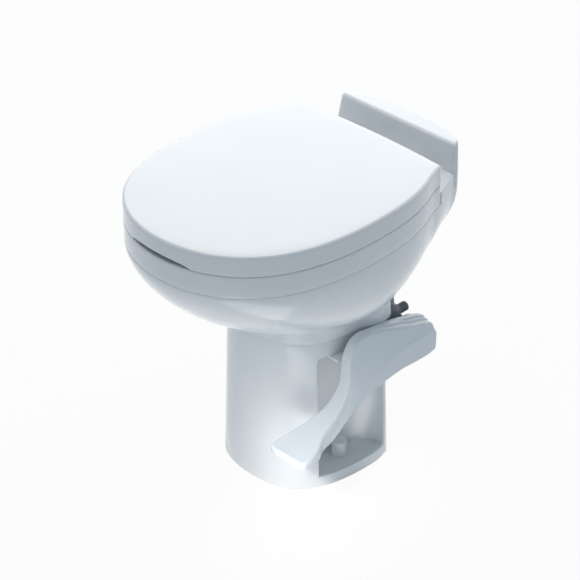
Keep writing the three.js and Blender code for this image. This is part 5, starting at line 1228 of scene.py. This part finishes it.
# %% A tree of nodes
class Nodes:
    """A node tree whose new nodes all come from one method."""

    def __init__(self, tree):
        self.tree = tree

    def node(self, kind, settings=None, inputs=None, output=0):
        """A node with its settings made first and then its sockets fed with values or links."""
        made = self.tree.nodes.new(kind)
        for name, value in (settings or {}).items():
            if name == "stops":
                for stop, (place, colour) in zip(made.color_ramp.elements, value):
                    stop.position, stop.color = place, (*colour, 1)
            else:
                setattr(made, name, value)
        for socket, value in (inputs or {}).items():
            self.link(made.inputs[socket], value)
        return Value(self, made.outputs[output])

    def link(self, socket, value):
        """Feeds a socket with another node's output, a colour or a number."""
        if isinstance(value, Value):
            self.tree.links.new(value.socket, socket)
        elif isinstance(value, tuple) and len(value) == 3 and len(socket.default_value) == 4:
            socket.default_value = (*value, 1)
        else:
            socket.default_value = value


print("a tree can", [name for name in vars(Nodes) if not name.startswith("_")])

# %% [markdown]
# A finish is such a tree for a surface. Its noise is worked out in the piece's own coordinates, so grain
# and smudges keep their real size on small and large pieces alike.

# %% Finishes
class Finish(Nodes):
    """A material whose Principled shader is fed by expressions."""

    def __init__(self, name, **fixed):
        self.material = bpy.data.materials.new(name)
        self.material.use_nodes = True
        super().__init__(self.material.node_tree)
        self.shader = self.tree.nodes["Principled BSDF"]
        for socket, value in fixed.items():
            self.feed(socket.replace("_", " "), value)

    def feed(self, socket, value):
        """Feeds one of the shader's sockets."""
        self.link(self.shader.inputs[socket], value)

    def noise(self, size, detail=2.0, roughness=0.5, stretch=(1, 1, 1)):
        """Noise whose blotches are about a size in metres, stretched along an axis if asked."""
        place = self.node("ShaderNodeTexCoord", output="Object")
        spread = self.node("ShaderNodeMapping", {}, {"Vector": place, "Scale": stretch})
        return self.node(
            "ShaderNodeTexNoise",
            {},
            {"Vector": spread, "Scale": 1 / size, "Detail": detail, "Roughness": roughness},
        )

    def shade(self, factor, dark, light, low=0.3, high=0.7):
        """A colour between two, by a ramp over a factor."""
        return self.node("ShaderNodeValToRGB", {"stops": [(low, dark), (high, light)]}, {0: factor})

    def bump(self, height, strength, distance):
        """A bump from a height, in metres at its distance."""
        sockets = {"Height": height, "Strength": strength, "Distance": distance}
        self.feed("Normal", self.node("ShaderNodeBump", {}, sockets))


print("a finish can", [name for name in vars(Finish) if not name.startswith("_")])

# %% [markdown]
# ## The finishes
# Moulded plastic is never quite flat or evenly bright. It has a very slow waviness where it shrank in
# the mould, a fine grain that only the highlight shows, and a roughness that drifts a little where hands
# and cloths have been. Steel is brushed along one direction, and rubber has a dull, dusty grain. Each
# finish is a function of its colours, so that the same recipe serves white, grey and dark plastic.

# %% Plastics, rubber and steel
PLASTIC_IOR, COAT_ROUGHNESS = 1.5, 0.06
DRIFT_SIZE, SMUDGE_SIZE, SMUDGE_SPREAD = 0.16, 0.045, 0.08
WAVE_SIZE, GRAIN_SIZE, GRAIN_SHARE = 0.12, 0.0011, 0.02
DUST_SIZE, DUST_SPREAD, DUST_ROUGHNESS, PIT_SIZE = 0.012, 0.15, 0.7, 0.0009
LINE_SIZE, LINE_SPREAD, STAIN_SIZE, LINE_SHARE, STAIN_SHARE = 0.004, 0.16, 0.03, 0.6, 0.4


def plastic(name, dark, light, rough, wave=0.0004, grain=0.12, coat=0.0):
    """Moulded plastic: slow colour drift, smudges in its roughness, shrink waves and a fine grain."""
    made = Finish(name, IOR=PLASTIC_IOR, Coat_Weight=coat, Coat_Roughness=COAT_ROUGHNESS)
    drift = made.noise(DRIFT_SIZE, 3)
    made.feed("Base Color", made.shade(drift, dark, light))
    smudge = made.noise(SMUDGE_SIZE, 4, 0.6)
    made.feed("Roughness", smudge * SMUDGE_SPREAD + (rough - SMUDGE_SPREAD / 2))
    waves, fine = made.noise(WAVE_SIZE, 1), made.noise(GRAIN_SIZE, 2)
    made.bump(waves + fine * GRAIN_SHARE, grain, wave)
    return made.material


def rubber(name, dark, light):
    """Dull black rubber with a dusty, finely pitted surface."""
    made = Finish(name, Specular_IOR_Level=0.3)
    dust = made.noise(DUST_SIZE, 5, 0.65)
    made.feed("Base Color", made.shade(dust, dark, light, 0.35, 0.75))
    made.feed("Roughness", dust * DUST_SPREAD + DUST_ROUGHNESS)
    made.bump(made.noise(PIT_SIZE, 3), 0.35, 0.0004)
    return made.material


def steel(name, dark, light, rough, stretch=(1, 1, 14)):
    """Plated steel: fine lines along one direction in its colour, roughness and height."""
    made = Finish(name, Metallic=1.0)
    lines = made.noise(LINE_SIZE, 4, 0.6, stretch)
    stain = made.noise(STAIN_SIZE, 3)
    made.feed("Base Color", made.shade(lines * LINE_SHARE + stain * STAIN_SHARE, dark, light))
    made.feed("Roughness", lines * LINE_SPREAD + rough)
    made.bump(lines, 0.2, 0.0002)
    return made.material


FINISHES = {
    "white_plastic": plastic("white_gloss", (0.80, 0.82, 0.84), (0.84, 0.85, 0.86), 0.16, coat=0.35),
    "pedal_plastic": plastic("pedal_gloss", (0.74, 0.79, 0.83), (0.78, 0.82, 0.86), 0.16, coat=0.35),
    "grey_plastic": plastic("grey_satin", (0.27, 0.30, 0.33), (0.31, 0.34, 0.37), 0.42),
    "dark_plastic": plastic("dark_matt", (0.17, 0.178, 0.205), (0.22, 0.23, 0.26), 0.35),
    "hose_plastic": plastic("hose_grey", (0.32, 0.35, 0.37), (0.36, 0.39, 0.41), 0.5),
    "black_rubber": rubber("black_rubber", (0.012, 0.012, 0.014), (0.035, 0.035, 0.038)),
    "steel": steel("plated_steel", (0.50, 0.51, 0.53), (0.66, 0.67, 0.69), 0.22),
}
print("finishes", list(FINISHES))

# %% [markdown]
# ## Each piece on its body
# A new piece takes the place of one or more of the frame's nodes. The packed record says which body moves
# a node and which finish it has, so both are looked up rather than written again. The valve's spring is
# pressed together by its plunger; here it is a copy of its node that gets a mesh of its own.

# %% Dressing the pieces
SLOT_OF = {row["node"]: row["material_slot"] for row in frame["record"]["subparts"]}
BODY_OF = {n: body for body, nodes in frame["record"]["behaviour"]["bodies"].items() for n in nodes}


def dress(made, slot):
    """Gives a piece one finish all over."""
    made.data.materials.clear()
    made.data.materials.append(FINISHES[slot])
    made.data.polygons.foreach_set("material_index", np.zeros(len(made.data.polygons), np.int32))


def stand_for(made, *nodes):
    """A piece rides on the body of the nodes it replaces and takes their slot and finish."""
    dress(made, SLOT_OF[nodes[0]])
    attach(made, BODY_OF[nodes[0]])
    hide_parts(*nodes)


stand_for(lid, "lid")
stand_for(seat, "seat_ring")
for part in (shell, deck, housing):
    stand_for(part, "bowl_shell")
stand_for(basin, "bowl_basin")
stand_for(pedestal, "pedestal")
stand_for(pedal, "pedal_cover")
for label, made in caps.items():
    stand_for(made, f"bolt_cap_{label}")
stand_for(stem, "inlet_nipple")
stand_for(supply, "supply_hose")
stand_for(nozzle_line, "nozzle_hose")
for node, made in soft_copies.items():
    stand_for(made, node)
for node, group in fittings.items():
    for made in group:
        stand_for(made, node)
for node, made in frame["nodes"].items():
    dress(made, SLOT_OF[node])
spring = copied("valve_spring", 0)
stand_for(spring, "valve_spring")
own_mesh(spring)
print("pieces dressed")

# %% [markdown]
# ## Floor and backdrop
# The object stands on a plain floor before a white backdrop. Enough light to turn them white would burn
# the object out, so rays that look at them see plain white instead, and rays that carry light don't. A
# small share of the floor is shown as the lamps light it, which keeps the object's shadow, faintly.

# %% Floor
WHITE, FLOOR_COLOUR, FLOOR_LIT = (1, 1, 1), (0.9, 0.91, 0.92), 0.07
FLOOR_HALF, FLOOR_BOTTOM, FLOOR_TOP = 6000, -12, -0.5
RAY_KINDS = ("Camera", "Glossy", "Transmission")


def looking(nodes):
    """1 for the camera's rays and for those that a shiny or a clear surface sends on, 0 for others."""
    rays = [nodes.node("ShaderNodeLightPath", output=f"Is {kind} Ray") for kind in RAY_KINDS]
    widest = rays[0]
    for ray in rays[1:]:
        widest = nodes.node("ShaderNodeMath", {"operation": "MAXIMUM"}, {0: widest, 1: ray})
    return widest


def floor_finish():
    """A pale floor that a looking ray sees as white glow, but for the share FLOOR_LIT."""
    made = Finish("floor_white", Roughness=0.9, Base_Color=FLOOR_COLOUR)
    glow = made.node("ShaderNodeEmission", {}, {"Color": WHITE, "Strength": 1.0})
    lit = Value(made, made.shader.outputs[0])
    share = looking(made) * (1 - FLOOR_LIT)
    mixed = made.node("ShaderNodeMixShader", {}, {0: share, 1: lit, 2: glow})
    made.link(made.tree.nodes["Material Output"].inputs[0], mixed)
    return made.material


floor = block("floor", (-FLOOR_HALF, -FLOOR_HALF, FLOOR_BOTTOM), (FLOOR_HALF, FLOOR_HALF, FLOOR_TOP))
floor.data.materials.append(floor_finish())
print("floor top at", FLOOR_TOP, "mm")

# %% [markdown]
# The backdrop works in the same way. A looking ray sees white, and the light that reaches the object from
# all round is a weak, cool sky.

# %% World
SKY_COLOUR, SKY_STRENGTH = (0.68, 0.85, 1.0), 0.36
world = bpy.data.worlds.new("studio")
bpy.context.scene.world = world
world.use_nodes = True
studio = Nodes(world.node_tree)
sky = world.node_tree.nodes["Background"]
studio.link(sky.inputs["Color"], SKY_COLOUR)
studio.link(sky.inputs["Strength"], SKY_STRENGTH)
backdrop = studio.node("ShaderNodeBackground", {}, {"Color": WHITE, "Strength": 1.0})
chosen = studio.node(
    "ShaderNodeMixShader", {}, {0: looking(studio), 1: Value(studio, sky.outputs[0]), 2: backdrop}
)
studio.link(world.node_tree.nodes["World Output"].inputs[0], chosen)
print("world nodes", len(world.node_tree.nodes))

# %% [markdown]
# ## Lamps
# Large lamps make soft, wide reflections. The top one lights the lid, the key and the strip lift the
# front from below, the sheen comes from behind on the left and the small low one brightens the pedal's
# pad.

# %% Lamps
MIDDLE, WARM = (0, 0, 0.3), (1, 0.965, 0.925)


def lamp(name, place, target, size, power, colour=WHITE, spread=180):
    """A soft lamp with two sides at a place in metres, turned towards a target. A small spread in
    degrees keeps its light together."""
    light = bpy.data.lights.new(name, "AREA")
    light.shape = "RECTANGLE"
    light.size, light.size_y = size
    light.energy, light.color, light.spread = power, colour, np.radians(spread)
    made = bpy.data.objects.new(name, light)
    made.location = place
    made.rotation_euler = (Vector(target) - Vector(place)).to_track_quat("-Z", "Y").to_euler()
    made.visible_camera = False
    bpy.context.scene.collection.objects.link(made)


lamp("key", (-0.5, -2.2, 0.7), MIDDLE, (1.2, 1.2), 1.8, WARM)
lamp("top", (-0.2, 0.3, 2.3), MIDDLE, (1.6, 1.6), 20, WARM)
lamp("sheen", (-1.6, 1.6, 1.5), MIDDLE, (1.9, 1.5), 13)
lamp("low", (0.4, -1.2, 1.15), (0.14, -0.13, 0.06), (0.2, 0.2), 0.17, WARM, 12)
lamp("strip", (0.277, -0.355, 0.02), (0.277, -0.354, 1), (0.22, 0.5), 0.42)
print("lamps", len(bpy.data.lights))

# %% [markdown]
# ## Camera
# The camera looks from 45 degrees to the side and 33 degrees above, through a long lens. Its place and its
# direction were worked out from the symmetric outlines of the lid and the base in the photo.

# %% Camera
CAMERA_PLACE = Vector((1.7331, -1.7259, 1.8812))
CAMERA_DIRECTION = Vector((-0.59413, 0.59124, -0.54538))
LENS, SENSOR_WIDTH = 124.14, 36
scene = bpy.context.scene
camera = bpy.data.objects.new("camera", bpy.data.cameras.new("camera"))
camera.data.lens, camera.data.sensor_width = LENS, SENSOR_WIDTH
camera.location = CAMERA_PLACE
camera.rotation_euler = CAMERA_DIRECTION.to_track_quat("-Z", "Y").to_euler()
scene.collection.objects.link(camera)
scene.camera = camera
scene.view_settings.view_transform = "Standard"
print("camera at", tuple(camera.location))

# %% [markdown]
